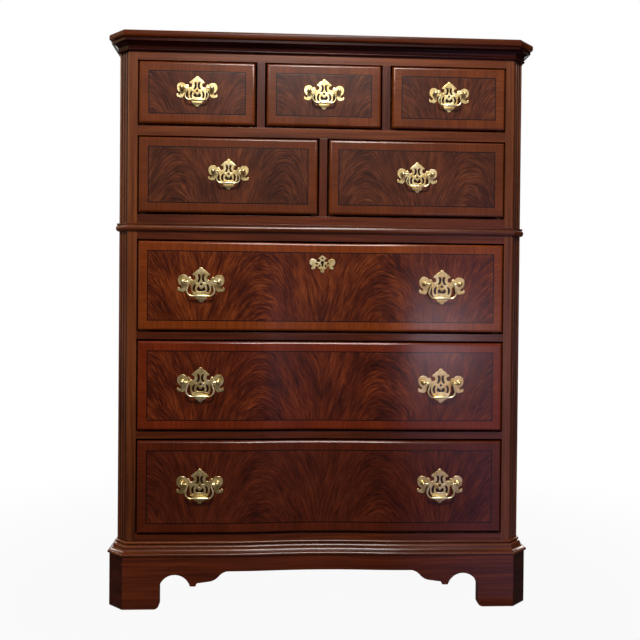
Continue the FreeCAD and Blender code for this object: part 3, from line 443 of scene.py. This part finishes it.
UPPER_TONES = tones((84, 36, 11), (117, 54, 16), (143, 71, 25))
LOWER_TONES = tones((66, 23, 7), (93, 37, 11), (120, 54, 20))
POST_TONES = tones((76, 34, 13), (112, 55, 22), (140, 74, 34))
MOULDING_TONES = tones((76, 31, 11), (106, 49, 18), (132, 67, 28))
# The cornice's tones are darkened to paint the shade that falls under the top board.
CORNICE_SHADE_TONES = tones((30, 4, 3), (46, 9, 5), (66, 19, 9))
TOP_TONES = tones((62, 23, 5), (88, 35, 8), (114, 51, 15))
FOOT_TONES = tones((68, 24, 10), (96, 37, 15), (122, 53, 24))
# The canted feet face aside; their tones are darkened to paint the shade on them.
FOOT_CANT_SHADE_TONES = tones((40, 10, 6), (58, 16, 9), (76, 25, 14))
PULL_TONES = tones((192, 163, 102), (222, 199, 138), (242, 226, 178))
# The bails' brass is a lighter copy of the pulls', lifted to paint their brighter highlights.
BAIL_HIGHLIGHT_TONES = tones((240, 216, 146), (252, 238, 180), (255, 250, 208))
upper_mahogany = straight_mahogany("mahogany_upper_rails", "x", UPPER_TONES, seed=1.7)
lower_mahogany = straight_mahogany("mahogany_lower_rails", "x", LOWER_TONES, seed=3.3)
# The posts carry painted shade on their cants and in their flutes.
upright_mahogany = straight_mahogany("mahogany_posts", "z", POST_TONES, seed=4.1, shaded_by=painted_cant_shade)
divider_mahogany = straight_mahogany("mahogany_dividers", "z", LOWER_TONES, seed=7.4)
side_mahogany = straight_mahogany("mahogany_sides", "z", MOULDING_TONES, seed=8.6)
top_mahogany = straight_mahogany("mahogany_top", "x", TOP_TONES, seed=6.2, polish=WORN_POLISH)
shaded_cornice_mahogany = straight_mahogany("mahogany_cornice", "run", CORNICE_SHADE_TONES, seed=9.8,
                                     polish=WORN_POLISH)
run_mahogany = straight_mahogany("mahogany_mouldings", "run", MOULDING_TONES, seed=2.9)
foot_mahogany = straight_mahogany("mahogany_feet", "run", FOOT_TONES, seed=5.5)
shaded_foot_cant_mahogany = straight_mahogany("mahogany_foot_cants", "run", FOOT_CANT_SHADE_TONES, seed=5.9)
carcase_wood = drawer_wood("carcase_wood")
box_wood = drawer_wood("drawer_box_wood", front_to_back=True)
brass = aged_brass("pull_brass", PULL_TONES, gloss=0.27)
bail_brass = aged_brass("bail_brass", BAIL_HIGHLIGHT_TONES, gloss=0.2)
iron = old_iron("lock_iron")


# Shaping

def arc_points(start, via, end):
    """The points after start on the arc that runs by way of via to end, all (x, y)."""
    (ax, ay), (bx, by), (cx, cy) = start, via, end
    a2, b2, c2 = ax * ax + ay * ay, bx * bx + by * by, cx * cx + cy * cy
    d = 2 * (ax * (by - cy) + bx * (cy - ay) + cx * (ay - by))
    ox = (a2 * (by - cy) + b2 * (cy - ay) + c2 * (ay - by)) / d
    oy = (a2 * (cx - bx) + b2 * (ax - cx) + c2 * (bx - ax)) / d
    first, through, last = (math.atan2(y - oy, x - ox) for x, y in (start, via, end))
    turn = (last - first) % math.tau
    if (through - first) % math.tau > turn:
        turn -= math.tau
    radius = math.hypot(ax - ox, ay - oy)
    steps = max(2, math.ceil(abs(turn) / math.radians(90 / ARC_STEPS)))
    angles = [first + turn * step / steps for step in range(1, steps + 1)]
    return [(ox + radius * math.cos(angle), oy + radius * math.sin(angle)) for angle in angles]


def drawn(shares, wide, high, x_from=0.0, y_from=0.0):
    """A drawn line's points from its table of shares."""
    points = []
    for share in shares:
        corner = (x_from + wide * share[0], y_from + high * share[1])
        if len(share) == 2:
            points.append(corner)
        else:
            via = (x_from + wide * share[2], y_from + high * share[3])
            points += arc_points(points[-1], via, corner)
    return points


def sawn(bm, outline, set_out, along):
    """A flat outline set out in space and drawn into a solid along a vector. Gives its vertices."""
    start = bm.faces.new([bm.verts.new(set_out(*spot)) for spot in outline])
    made = bmesh.ops.extrude_face_region(bm, geom=[start])
    moved = [item for item in made["geom"] if isinstance(item, bmesh.types.BMVert)]
    bmesh.ops.translate(bm, vec=along, verts=moved)
    verts = list(start.verts) + moved
    bmesh.ops.recalc_face_normals(bm, faces=faces_of(verts))
    return verts


def faces_of(verts):
    return list({face for vert in verts for face in vert.link_faces})


def ease(bm, edges, width, segments=2):
    """Rounds the chosen edges."""
    bmesh.ops.bevel(bm, geom=list(edges), offset=width, offset_type="OFFSET", segments=segments,
                    profile=0.5, affect="EDGES", clamp_overlap=True, material=-1)


def sharp_edges(bm):
    return [edge for edge in bm.edges
            if len(edge.link_faces) == 2 and edge.calc_face_angle() > SHARP_ANGLE]


def add_board(bm, low, high):
    """A plain squared board between two corners."""
    low, high = Vector(low), Vector(high)
    verts = bmesh.ops.create_cube(bm, size=1.0)["verts"]
    bmesh.ops.scale(bm, vec=high - low, verts=verts)
    bmesh.ops.translate(bm, vec=(low + high) / 2, verts=verts)


def hollow(x):
    """How far the lower front falls back at x."""
    reach = abs(x)
    if reach >= HOLLOW_HALF:
        return 0.0
    if reach > HOLLOW_HALF / 2:
        return HOLLOW_RADIUS - math.sqrt(HOLLOW_RADIUS ** 2 - (HOLLOW_HALF - reach) ** 2)
    return HOLLOW_DEPTH - (HOLLOW_RADIUS - math.sqrt(HOLLOW_RADIUS ** 2 - reach ** 2))


def bend_hollow(bm, behind):
    """Saws the piece into thin slices over the hollow and sets back what lies in front of a depth."""
    for step in range(HOLLOW_SLICES + 1):
        x = HOLLOW_HALF * (2 * step / HOLLOW_SLICES - 1)
        bmesh.ops.bisect_plane(bm, geom=bm.verts[:] + bm.edges[:] + bm.faces[:], dist=SAME,
                               plane_co=(x, 0, 0), plane_no=(1, 0, 0))
    for vert in bm.verts:
        if vert.co.y < behind:
            vert.co.y += hollow(vert.co.x)


def merged_copy(node):
    """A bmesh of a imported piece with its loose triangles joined."""
    bm = bmesh.new()
    bm.from_mesh(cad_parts[node].data)
    bmesh.ops.remove_doubles(bm, verts=bm.verts, dist=SAME / 10)
    return bm


def loose_pieces(bm):
    """The vertices of each separate solid."""
    left = set(bm.verts)
    found = []
    while left:
        heap = [left.pop()]
        piece = []
        while heap:
            vert = heap.pop()
            piece.append(vert)
            near = {edge.other_vert(vert) for edge in vert.link_edges} & left
            left -= near
            heap += near
        found.append(piece)
    return found


def mesh_of(name, bm):
    """Turns a bmesh into a mesh, and is done with it."""
    mesh = bpy.data.meshes.new(name)
    bm.to_mesh(mesh)
    bm.free()
    return mesh


def add_object(name, data):
    made = bpy.data.objects.new(name, data)
    bpy.context.scene.collection.objects.link(made)
    return made


def set_in_place(name, bm, body, finish, nodes, soft_angle=SOFT_ANGLE):
    """Makes the finished piece, smooth up to an angle, and hangs it on its body."""
    mesh = mesh_of(name, bm)
    mesh.materials.append(finish)
    mesh.polygons.foreach_set("use_smooth", [True] * len(mesh.polygons))
    mesh.set_sharp_from_angle(angle=soft_angle)
    piece = add_object(name, mesh)
    evened = piece.modifiers.new("even_shading", "WEIGHTED_NORMAL")
    evened.keep_sharp = True
    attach(piece, body)
    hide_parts(*nodes)
    return piece


# Mouldings

def along_run(edge):
    """Whether a moulding's edge runs along it, in front of its back."""
    start, end = (vert.co for vert in edge.verts)
    level = abs(start.x - end.x) > SAME and abs(start.z - end.z) < SAME
    return level and min(-start.y, -end.y) > SAME


def add_length(bm, section, long, mitres, turn, place):
    """One length of moulding with its back at a place, turned about z, its ends mitred or square."""
    made = bmesh.new()
    verts = sawn(made, section, lambda out, up: (-long / 2, -out, up), (long, 0, 0))
    for vert in verts:
        end = mitres[0] if vert.co.x < 0 else mitres[1]
        vert.co.x += math.copysign(MITRE * end * -vert.co.y, vert.co.x)
    ease(made, [edge for edge in sharp_edges(made) if along_run(edge)], MOULDING_ARRIS)
    made.transform(Matrix.Translation(place) @ Matrix.Rotation(turn, 4, "Z"))
    length = mesh_of("length", made)
    bm.from_mesh(length)
    bpy.data.meshes.remove(length)


def make_moulding(name, node, shares, finish, hollowed=False):
    """Front, cant and side lengths that meet in mitres."""
    low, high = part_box(node)
    section = drawn(shares, FACE - low.y, high.z - low.z, 0.0, low.z)
    bm = bmesh.new()
    add_length(bm, section, 2 * FRONT_HALF, (1, 1), 0.0, (0, FACE, 0))
    if hollowed:
        bend_hollow(bm, BACK)
    cant_long = CANT_LEG * math.sqrt(2)
    side_long = BACK - FACE - CANT_LEG
    for hand in (-1, 1):
        cant_middle = (hand * (FRONT_HALF + CANT_LEG / 2), FACE + CANT_LEG / 2, 0)
        add_length(bm, section, cant_long, (1, 1), hand * math.pi / 4, cant_middle)
        side_middle = (hand * HALF, BACK - side_long / 2, 0)
        mitres = (0, 1) if hand < 0 else (1, 0)
        add_length(bm, section, side_long, mitres, hand * math.pi / 2, side_middle)
    set_in_place(name, bm, "case", finish, [node])


make_moulding("cornice", "cornice_moulding", CORNICE, shaded_cornice_mahogany)
make_moulding("waist_bead", "waist_moulding", WAIST, run_mahogany)
make_moulding("base_run", "base_moulding", BASE, run_mahogany, hollowed=True)


# Posts, panels, rails

FLUTE_WIDTH, FLUTE_DEPTH, FLUTE_PITCH = 6.4 * MM, 2.4 * MM, 9 * MM


def post_outline():
    """The left post in plan: stile face, fluted cant, side."""
    points = [(-OPENING_HALF, FRAME_BACK), (-OPENING_HALF, FACE), (-FRONT_HALF, FACE)]
    root = math.sqrt(2)
    for step in (-1, 0, 1):
        middle = CANT_LEG / 2 + step * FLUTE_PITCH / root
        near, far = middle - FLUTE_WIDTH / 2 / root, middle + FLUTE_WIDTH / 2 / root
        deep = FLUTE_DEPTH / root
        points.append((-FRONT_HALF - near, FACE + near))
        points += arc_points(points[-1], (-FRONT_HALF - middle + deep, FACE + middle + deep),
                             (-FRONT_HALF - far, FACE + far))
    return points + [(-HALF, FACE + CANT_LEG), (-HALF, FRAME_BACK)]


def make_post(hand, node):
    low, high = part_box(node)
    bm = bmesh.new()
    sawn(bm, post_outline(), lambda x, y: (x * hand, y, low.z), (0, 0, high.z - low.z))
    ease(bm, sharp_edges(bm), MOULDING_ARRIS)
    set_in_place(f"fluted_{node}", bm, "case", upright_mahogany, [node])


make_post(1, "left_corner_post")
make_post(-1, "right_corner_post")


def node_boxes(node):
    """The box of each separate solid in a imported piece."""
    bm = merged_copy(node)
    boxes = []
    for piece in loose_pieces(bm):
        spots = [vert.co for vert in piece]
        boxes.append((Vector(map(min, zip(*spots))), Vector(map(max, zip(*spots)))))
    bm.free()
    return sorted(boxes, key=lambda corners: tuple(corners[0]))


def make_boards(name, node, finish, boxes=None, hollowed=False, arris=ARRIS):
    """Squared boards with eased arrises, hollowed over the middle where the front is."""
    bm = bmesh.new()
    for low, high in boxes or node_boxes(node):
        add_board(bm, low, high)
    ease(bm, bm.edges[:], arris)
    if hollowed:
        bend_hollow(bm, (FACE + FRAME_BACK) / 2)
    set_in_place(name, bm, "case", finish, [node])


for hand in ("left", "right"):
    make_boards(f"{hand}_end_board", f"{hand}_side_panel", side_mahogany)
make_boards("rail_under_cornice", "top_rail", upper_mahogany)
make_boards("rail_between_upper_rows", "upper_rail", upper_mahogany)
make_boards("rails_between_lower_rows", "lower_rails", lower_mahogany, hollowed=True)
make_boards("rail_over_base", "bottom_rail", lower_mahogany, hollowed=True)
make_boards("uprights_between_drawers", "drawer_dividers", divider_mahogany)

BACK_LOW, BACK_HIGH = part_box("back_boards")
LOW_JOINT_RISE = 16 * MM
BACK_JOINTS = [BACK_LOW.z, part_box("lower_rails")[0].z + LOW_JOINT_RISE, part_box("lower_rails")[1].z,
               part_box("waist_rail")[1].z, BACK_HIGH.z]
make_boards("nailed_back", "back_boards", carcase_wood,
            [((BACK_LOW.x, BACK_LOW.y, foot), (BACK_HIGH.x, BACK_HIGH.y, head))
             for foot, head in zip(BACK_JOINTS, BACK_JOINTS[1:])], arris=BACK_ARRIS)


def make_eased_copy(name, node, finish, arris=ARRIS):
    """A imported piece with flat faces, its arrises eased."""
    bm = merged_copy(node)
    bmesh.ops.dissolve_limit(bm, angle_limit=FLAT_ANGLE, verts=bm.verts, edges=bm.edges)
    ease(bm, sharp_edges(bm), arris)
    set_in_place(name, bm, "case", finish, [node])


make_eased_copy("waist_board", "waist_rail", lower_mahogany)
make_eased_copy("canted_feet", "corner_feet", shaded_foot_cant_mahogany, FOOT_ARRIS)


# Top board

def make_top():
    low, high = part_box("top_board")
    out = FACE - low.y
    left = [(-HALF - out, BACK), (-HALF - out, FACE + CANT_LEG - MITRE * out),
            (-FRONT_HALF - MITRE * out, FACE - out)]
    outline = left + [(-x, y) for x, y in reversed(left)]
    bm = bmesh.new()
    sawn(bm, outline, lambda x, y: (x, y, low.z), (0, 0, high.z - low.z))
    level = [edge for edge in bm.edges if abs(edge.verts[0].co.z - edge.verts[1].co.z) < SAME]
    at_back = [edge for edge in level if all(abs(vert.co.y - BACK) < SAME for vert in edge.verts)]
    ease(bm, set(level) - set(at_back), TOP_ROUND, ROUND_SEGMENTS)
    set_in_place("top_slab", bm, "case", top_mahogany, ["top_board"])


make_top()


# Bracket base

FRONT_SCROLL, SIDE_SCROLL = 224 * MM, 180 * MM
APRON_RISE = 81 * MM
BRACKET_THICKNESS = 20 * MM


def bracket_outline(half, scroll_width, tall):
    """A bracket board's face: two scroll-cut feet and a straight apron, about its middle."""
    left = [(-half, tall), (-half, 0.0)] + drawn(SCROLL, scroll_width, APRON_RISE, -half, 0.0)
    return left + [(-x, z) for x, z in reversed(left)]


def make_front_bracket():
    low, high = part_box("front_bracket")
    half = FRONT_HALF + MITRE * (FACE - low.y)
    bm = bmesh.new()
    sawn(bm, bracket_outline(half, FRONT_SCROLL, high.z), lambda x, z: (x, low.y, z),
         (0, BRACKET_THICKNESS, 0))
    for vert in bm.verts:
        if abs(abs(vert.co.x) - half) < SAME and vert.co.y > low.y + SAME:
            vert.co.x -= math.copysign(MITRE * BRACKET_THICKNESS, vert.co.x)
    ease(bm, sharp_edges(bm), FOOT_ARRIS)
    bend_hollow(bm, BACK)
    set_in_place("scrolled_front", bm, "case", foot_mahogany, ["front_bracket"])


def make_side_brackets():
    low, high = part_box("side_brackets")
    half = (high.y - low.y) / 2
    bm = bmesh.new()
    for hand in (-1, 1):
        verts = sawn(bm, bracket_outline(half, SIDE_SCROLL, high.z),
                     lambda y, z: (hand * high.x, y + (low.y + high.y) / 2, z),
                     (-hand * BRACKET_THICKNESS, 0, 0))
        for vert in verts:
            if abs(vert.co.y - low.y) < SAME and abs(vert.co.x) < high.x - SAME:
                vert.co.y += MITRE * BRACKET_THICKNESS
    ease(bm, sharp_edges(bm), FOOT_ARRIS)
    set_in_place("scrolled_sides", bm, "case", foot_mahogany, ["side_brackets"])


make_front_bracket()
make_side_brackets()


# Drawer fronts: a drawer's pulls, and the row that it stands in.

DRAWERS = {
    "top_left": ("small", 0), "top_middle": ("small", 0), "top_right": ("small", 0),
    "second_left": ("small", 1), "second_right": ("small", 1),
    "third": ("large", 2), "fourth": ("large", 3), "bottom": ("large", 4),
}
LEAF_PERIOD = [215 * MM, 225 * MM, 261 * MM, 261 * MM, 261 * MM]
FIELD_TONES = [
    tones((46, 18, 9), (87, 39, 20), (136, 73, 40)),
    tones((44, 17, 8), (85, 38, 18), (134, 71, 38)),
    tones((48, 12, 3), (95, 34, 9), (160, 78, 29)),
    tones((42, 10, 3), (89, 30, 9), (146, 65, 25)),
    tones((47, 12, 5), (82, 28, 10), (120, 50, 21)),
]
BAND_TONES = [
    tones((95, 42, 12), (115, 52, 15), (136, 66, 22)),
    tones((90, 39, 12), (108, 48, 14), (130, 61, 21)),
    tones((112, 46, 9), (132, 57, 11), (152, 71, 18)),
    tones((100, 32, 6), (118, 40, 8), (138, 52, 13)),
    tones((76, 25, 6), (92, 32, 8), (110, 42, 12)),
]
LARGE_PULL_X = 261 * MM
# Half widths and heights of the painted shade round each small pull, each large pull and the keyhole.
SMALL_BRASS_SHADE, LARGE_BRASS_SHADE, KEY_BRASS_SHADE = (17 * MM, 20 * MM), (19 * MM, 23 * MM), (11 * MM, 9 * MM)
KEY_HEIGHT = 749 * MM
KEY_RADIUS, KEY_SLOT_WIDTH, KEY_SLOT_LENGTH = 3.4 * MM, 3.6 * MM, 9 * MM
KEY_OVERSHOOT = 10 * MM
FIRST_SEED, SEED_STEP = 1.0, 2.3


def cut_key_way(piece, low, high):
    """Bores the key's way through a finished front."""
    bm = bmesh.new()
    half = KEY_SLOT_WIDTH / 2
    meeting = -math.sqrt(KEY_RADIUS ** 2 - half ** 2)
    outline = [(half, -KEY_SLOT_LENGTH), (half, meeting)]
    outline += arc_points(outline[-1], (0, KEY_RADIUS), (-half, meeting))
    outline += [(-half, -KEY_SLOT_LENGTH)]
    sawn(bm, outline, lambda x, z: (x, low.y - KEY_OVERSHOOT, KEY_HEIGHT + z),
         (0, high.y - low.y + 2 * KEY_OVERSHOOT, 0))
    tool = add_object("key_way", mesh_of("key_way", bm))
    bore = piece.modifiers.new("key_way", "BOOLEAN")
    bore.object = tool
    bore.solver = "EXACT"
    piece.modifiers.move(1, 0)
    bpy.context.view_layer.update()
    shaped = bpy.data.meshes.new_from_object(piece.evaluated_get(bpy.context.evaluated_depsgraph_get()))
    piece.modifiers.remove(bore)
    piece.data = shaped
    bpy.data.objects.remove(tool)


def make_front(word, kind, row):
    node = f"{word}_drawer_front"
    low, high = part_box(node)
    middle, centre = (low.x + high.x) / 2, (low.z + high.z) / 2
    if kind == "small":
        brasses = [(middle, centre, *SMALL_BRASS_SHADE)]
    else:
        brasses = [(hand * LARGE_PULL_X, centre, *LARGE_BRASS_SHADE) for hand in (-1, 1)]
    if word == "third":
        brasses.append((0.0, KEY_HEIGHT, *KEY_BRASS_SHADE))
    seed = FIRST_SEED + SEED_STEP * list(DRAWERS).index(word)
    finish = flame_veneer(f"flame_{word}", low, high, middle, LEAF_PERIOD[row], FIELD_TONES[row],
                          BAND_TONES[row], brasses, seed)
    bm = bmesh.new()
    add_board(bm, low, high)
    in_front = [edge for edge in bm.edges if all(vert.co.y < low.y + SAME for vert in edge.verts)]
    ease(bm, in_front, FRONT_ROUND, ROUND_SEGMENTS)
    ease(bm, sharp_edges(bm), ARRIS)
    if kind == "large":
        bend_hollow(bm, (low.y + high.y) / 2 + FRONT_ROUND)
    front = set_in_place(f"{word}_flame_front", bm, f"{word}_drawer", finish, [node])
    if word == "third":
        cut_key_way(front, low, high)


for word, (kind, row) in DRAWERS.items():
    make_front(word, kind, row)


# Brass

PLATE_BEVEL = 0.55 * MM
SMALL_SPACING, LARGE_SPACING = 63.5 * MM, 76.2 * MM
SMALL_PLATE, LARGE_PLATE = (87.5, 66.0), (100.5, 75.5)
SMALL_FRONT, LARGE_FRONT = 22 * MM, 34 * MM
SMALL_RISE, LARGE_RISE = 7.9 * MM, 8.8 * MM


def bevel_plate(bm, verts):
    """Slopes a flat brass plate's front edges, outside and in its piercings."""
    front = min(vert.co.y for vert in verts)
    facing = [face for face in faces_of(verts) if all(vert.co.y < front + SAME for vert in face.verts)]
    edge_verts = {vert for face in facing for vert in face.verts}
    bmesh.ops.translate(bm, vec=(0, PLATE_BEVEL, 0), verts=list(edge_verts))
    bmesh.ops.inset_region(bm, faces=facing, thickness=PLATE_BEVEL, depth=PLATE_BEVEL,
                           use_boundary=True, use_even_offset=True, use_interpolate=True)


def depth_of(piece):
    return max(vert.co.y for vert in piece) - min(vert.co.y for vert in piece)


def pull_mesh(kind):
    """One pull's plate, posts and nuts, with its pivot line at the origin's height."""
    low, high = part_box("top_middle_drawer_front")
    bm = merged_copy("top_middle_pull_mounts")
    bmesh.ops.translate(bm, vec=(0, -low.y, -(low.z + high.z) / 2 - SMALL_RISE), verts=bm.verts)
    pieces = loose_pieces(bm)
    plate = min(pieces, key=depth_of)
    if kind == "large":
        for vert in bm.verts:
            if vert.co.y > SMALL_FRONT / 2:
                vert.co.y += LARGE_FRONT - SMALL_FRONT
        for piece in pieces:
            if piece is plate:
                growth = (LARGE_PLATE[0] / SMALL_PLATE[0], 1, LARGE_PLATE[1] / SMALL_PLATE[1])
                bmesh.ops.scale(bm, vec=growth, verts=piece)
            else:
                shift = math.copysign((LARGE_SPACING - SMALL_SPACING) / 2, piece[0].co.x)
                bmesh.ops.translate(bm, vec=(shift, 0, 0), verts=piece)
    bevel_plate(bm, plate)
    return mesh_of(f"{kind}_pull", bm)


def make_bail(node):
    set_in_place(f"{node}_brass", merged_copy(node), node, bail_brass, [node], BAIL_SOFT_ANGLE)


def make_pulls(word, kind, pattern):
    """A drawer's plates with their posts, from one pull's mesh, and its bails."""
    low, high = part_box(f"{word}_drawer_front")
    hands = {"": 0.0} if kind == "small" else {"left_": -LARGE_PULL_X, "right_": LARGE_PULL_X}
    rise = SMALL_RISE if kind == "small" else LARGE_RISE
    bm = bmesh.new()
    for hand, away in hands.items():
        before = set(bm.verts)
        bm.from_mesh(pattern)
        fresh = [vert for vert in bm.verts if vert not in before]
        place = ((low.x + high.x) / 2 + away, low.y, (low.z + high.z) / 2 + rise)
        bmesh.ops.translate(bm, vec=place, verts=fresh)
        make_bail(f"{word}_{hand}bail")
    set_in_place(f"{word}_pull_plates", bm, f"{word}_drawer", brass, [f"{word}_pull_mounts"])


def make_escutcheon():
    bm = merged_copy("escutcheon")
    bevel_plate(bm, bm.verts[:])
    set_in_place("pierced_escutcheon", bm, "third_drawer", brass, ["escutcheon"])


patterns = {kind: pull_mesh(kind) for kind in ("small", "large")}
for word, (kind, _) in DRAWERS.items():
    make_pulls(word, kind, patterns[kind])
for mesh in patterns.values():
    bpy.data.meshes.remove(mesh)
make_escutcheon()


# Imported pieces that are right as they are

PLAIN = {
    carcase_wood: ["drawer_runners", "dust_panels", "rear_brackets", "glue_blocks"],
    box_wood: [f"{word}_drawer_box" for word in DRAWERS],
    iron: ["lock_case", "lock_bolt"],
}
for finish, nodes in PLAIN.items():
    for node in nodes:
        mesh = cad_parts[node].data
        mesh.materials.clear()
        mesh.materials.append(finish)


# Studio

AMBIENT = 0.16
FLOOR_GREY, FLOOR_REACH = (0.25, 0.25, 0.25, 1), 30.0
FLOOR_WHITE, WHITE_FROM = 0.94, (0.6, 1.6)
WARM, COOL = (1.0, 0.84, 0.72, 1), (1.0, 0.97, 0.95, 1)
LAVENDER, ROSE, AMBER = (0.62, 0.54, 1.0, 1), (0.82, 0.62, 0.85, 1), (1.0, 0.66, 0.36, 1)


def add_softbox(name, spot, target, size, radiance, colour):
    """A flat lamp that looks from a spot to a target, whose power gives its face a radiance."""
    lamp = bpy.data.lights.new(name, "AREA")
    lamp.shape = "RECTANGLE"
    lamp.size, lamp.size_y = size
    lamp.energy = radiance * math.pi * math.prod(size)
    lamp.color = colour
    box = add_object(name, lamp)
    turn = (Vector(target) - Vector(spot)).to_track_quat("-Z", "Y")
    box.matrix_world = Matrix.Translation(spot) @ turn.to_matrix().to_4x4()
    return box


def make_world():
    world = bpy.data.worlds.new("studio")
    world.use_nodes = True
    nodes = Nodes(world.node_tree)
    dim = nodes.tree.nodes["Background"]
    dim.inputs["Color"].default_value = WHITE
    dim.inputs["Strength"].default_value = AMBIENT
    surface = nodes.tree.nodes["World Output"].inputs["Surface"]
    nodes.feed(surface, nodes.white_to_eye(dim, "ShaderNodeBackground", 1.0))
    bpy.context.scene.world = world


def make_sheet(name, corners, finish):
    """A flat four-cornered sheet of the studio."""
    bm = bmesh.new()
    bm.faces.new([bm.verts.new(corner) for corner in corners])
    mesh = mesh_of(name, bm)
    mesh.materials.append(finish)
    sheet = add_object(name, mesh)
    return sheet


def level_corners(left, right, front, back, height):
    return [(left, front, height), (right, front, height), (right, back, height), (left, back, height)]


def make_floor():
    """A pale floor that keeps a soft shadow by the feet and runs out to white."""
    finish = Finish("pale_floor", base_color=FLOOR_GREY, roughness=0.9, specular_ior_level=0.0)
    away = (finish.x ** 2.0 + finish.y ** 2.0) ** 0.5
    share = FLOOR_WHITE + (1 - FLOOR_WHITE) * away.rise(*WHITE_FROM)
    surface = finish.tree.nodes["Material Output"].inputs["Surface"]
    finish.feed(surface, finish.white_to_eye(finish.shader, "ShaderNodeEmission", share))
    corners = level_corners(-FLOOR_REACH, FLOOR_REACH, -FLOOR_REACH, FLOOR_REACH, 0)
    make_sheet("floor", corners, finish.material)


def make_flag(name, corners, glow, colour, fade):
    """A studio flag that only reflections see, to keep the polish deep. It may fade in along x."""
    finish = Finish(name, base_color=BLACK, specular_ior_level=0.0, emission_color=colour,
                    emission_strength=glow)
    if fade:
        finish.wear(emission_color=finish.blend(finish.x.rise(*fade), BLACK, colour))
    flag = make_sheet(name, corners, finish.material)
    flag.visible_camera = flag.visible_diffuse = flag.visible_shadow = flag.visible_transmission = False


def upright_flag(name, start, end, low, high, glow, colour, fade=None):
    make_flag(name, [(*start, low), (*end, low), (*end, high), (*start, high)], glow, colour, fade)


def level_flag(name, left, right, front, back, height, glow, colour, fade=None):
    make_flag(name, level_corners(left, right, front, back, height), glow, colour, fade)


# The tent of flags stands round the chest; veils hang just inside it.
TENT, TENT_HEIGHT, FLAG_LIFT = 4.2, 3.4, 2 * MM
VEIL, VEIL_LOW, VEIL_FOOT, VEIL_NEAR = 4.1, 0.6, 1.3, 0.9
FRONT_LEFT, FRONT_RIGHT = (-TENT, -TENT), (TENT, -TENT)
BACK_LEFT, BACK_RIGHT = (-TENT, TENT), (TENT, TENT)

make_world()
make_floor()
upright_flag("front_flag", FRONT_LEFT, FRONT_RIGHT, 0, VEIL_FOOT, glow=0.06, colour=WARM)
upright_flag("front_high_flag", FRONT_LEFT, FRONT_RIGHT, VEIL_FOOT, TENT_HEIGHT, glow=0.24, colour=COOL)
upright_flag("front_right_flag", (0.6, -VEIL), (TENT, -VEIL), VEIL_LOW, VEIL_FOOT,
             glow=0.62, colour=LAVENDER, fade=(0.8, 1.4))
upright_flag("front_low_flag", (0.3, -VEIL), (TENT, -VEIL), 0, VEIL_LOW,
             glow=0.7, colour=ROSE, fade=(0.2, 1.0))
upright_flag("left_flag", FRONT_LEFT, BACK_LEFT, 0, TENT_HEIGHT, glow=0.22, colour=WARM)
upright_flag("left_high_flag", (-VEIL, 0.1), (-VEIL, 1.0), VEIL_FOOT, TENT_HEIGHT,
             glow=1.9, colour=AMBER)
upright_flag("right_flag", FRONT_RIGHT, BACK_RIGHT, 0, TENT_HEIGHT, glow=0.04, colour=WARM)
level_flag("floor_flag", -TENT, TENT, -TENT, TENT, FLAG_LIFT, glow=0.06, colour=WARM)
level_flag("floor_right_flag", 0.2, 1.6, -VEIL, -VEIL_NEAR, 2 * FLAG_LIFT,
           glow=0.68, colour=LAVENDER, fade=(0.35, 0.75))
level_flag("floor_near_flag", 0.1, 1.0, -VEIL_NEAR, -0.27, 2 * FLAG_LIFT,
           glow=0.62, colour=LAVENDER, fade=(0.12, 0.5))
level_flag("ceiling_flag", -TENT, TENT, -TENT, 1.0, TENT_HEIGHT, glow=0.12, colour=WARM)
level_flag("ceiling_strip", 0.08, 0.4, -TENT, -0.4, height=2.9, glow=21.0, colour=COOL)
add_softbox("key", (-0.1, -1.9, 2.3), (0, -0.22, 0.8), (0.42, 0.42),
            radiance=62.0, colour=(1.0, 0.97, 0.93))
add_softbox("window", (0.81, -3.0, 0.5), (0.25, -0.24, 0.59), (0.28, 0.34),
            radiance=9.5, colour=(1.0, 0.8, 0.94))
strip = add_softbox("left_strip", (-2.2, 0.3, 1.5), (-0.42, -0.2, 0.9), (0.2, 1.2),
                    radiance=14.0, colour=(1.0, 0.84, 0.6))
strip.visible_glossy = False
for hand in (-1, 1):
    add_softbox("back_lamp", (hand * 1.9, 2.6, 1.9), (0, 0.2, 0.6), (0.9, 0.9),
                radiance=12.0, colour=(1.0, 0.95, 0.88))

# The camera, as it stood for the photograph.
EYE = -0.092, -1.9523, 0.6439
PAN, TILT, ROLL = (math.radians(angle) for angle in (-2.892, 90 - 0.649, 0.516))

camera = bpy.data.cameras.new("photo_camera")
camera.lens = 45
camera.sensor_width = 36
eye = add_object("photo_camera", camera)
eye.matrix_world = (Matrix.Translation(EYE) @ Matrix.Rotation(PAN, 4, "Z")
                    @ Matrix.Rotation(TILT, 4, "X") @ Matrix.Rotation(ROLL, 4, "Z"))
bpy.context.scene.camera = eye
bpy.context.scene.view_settings.view_transform = "Standard"
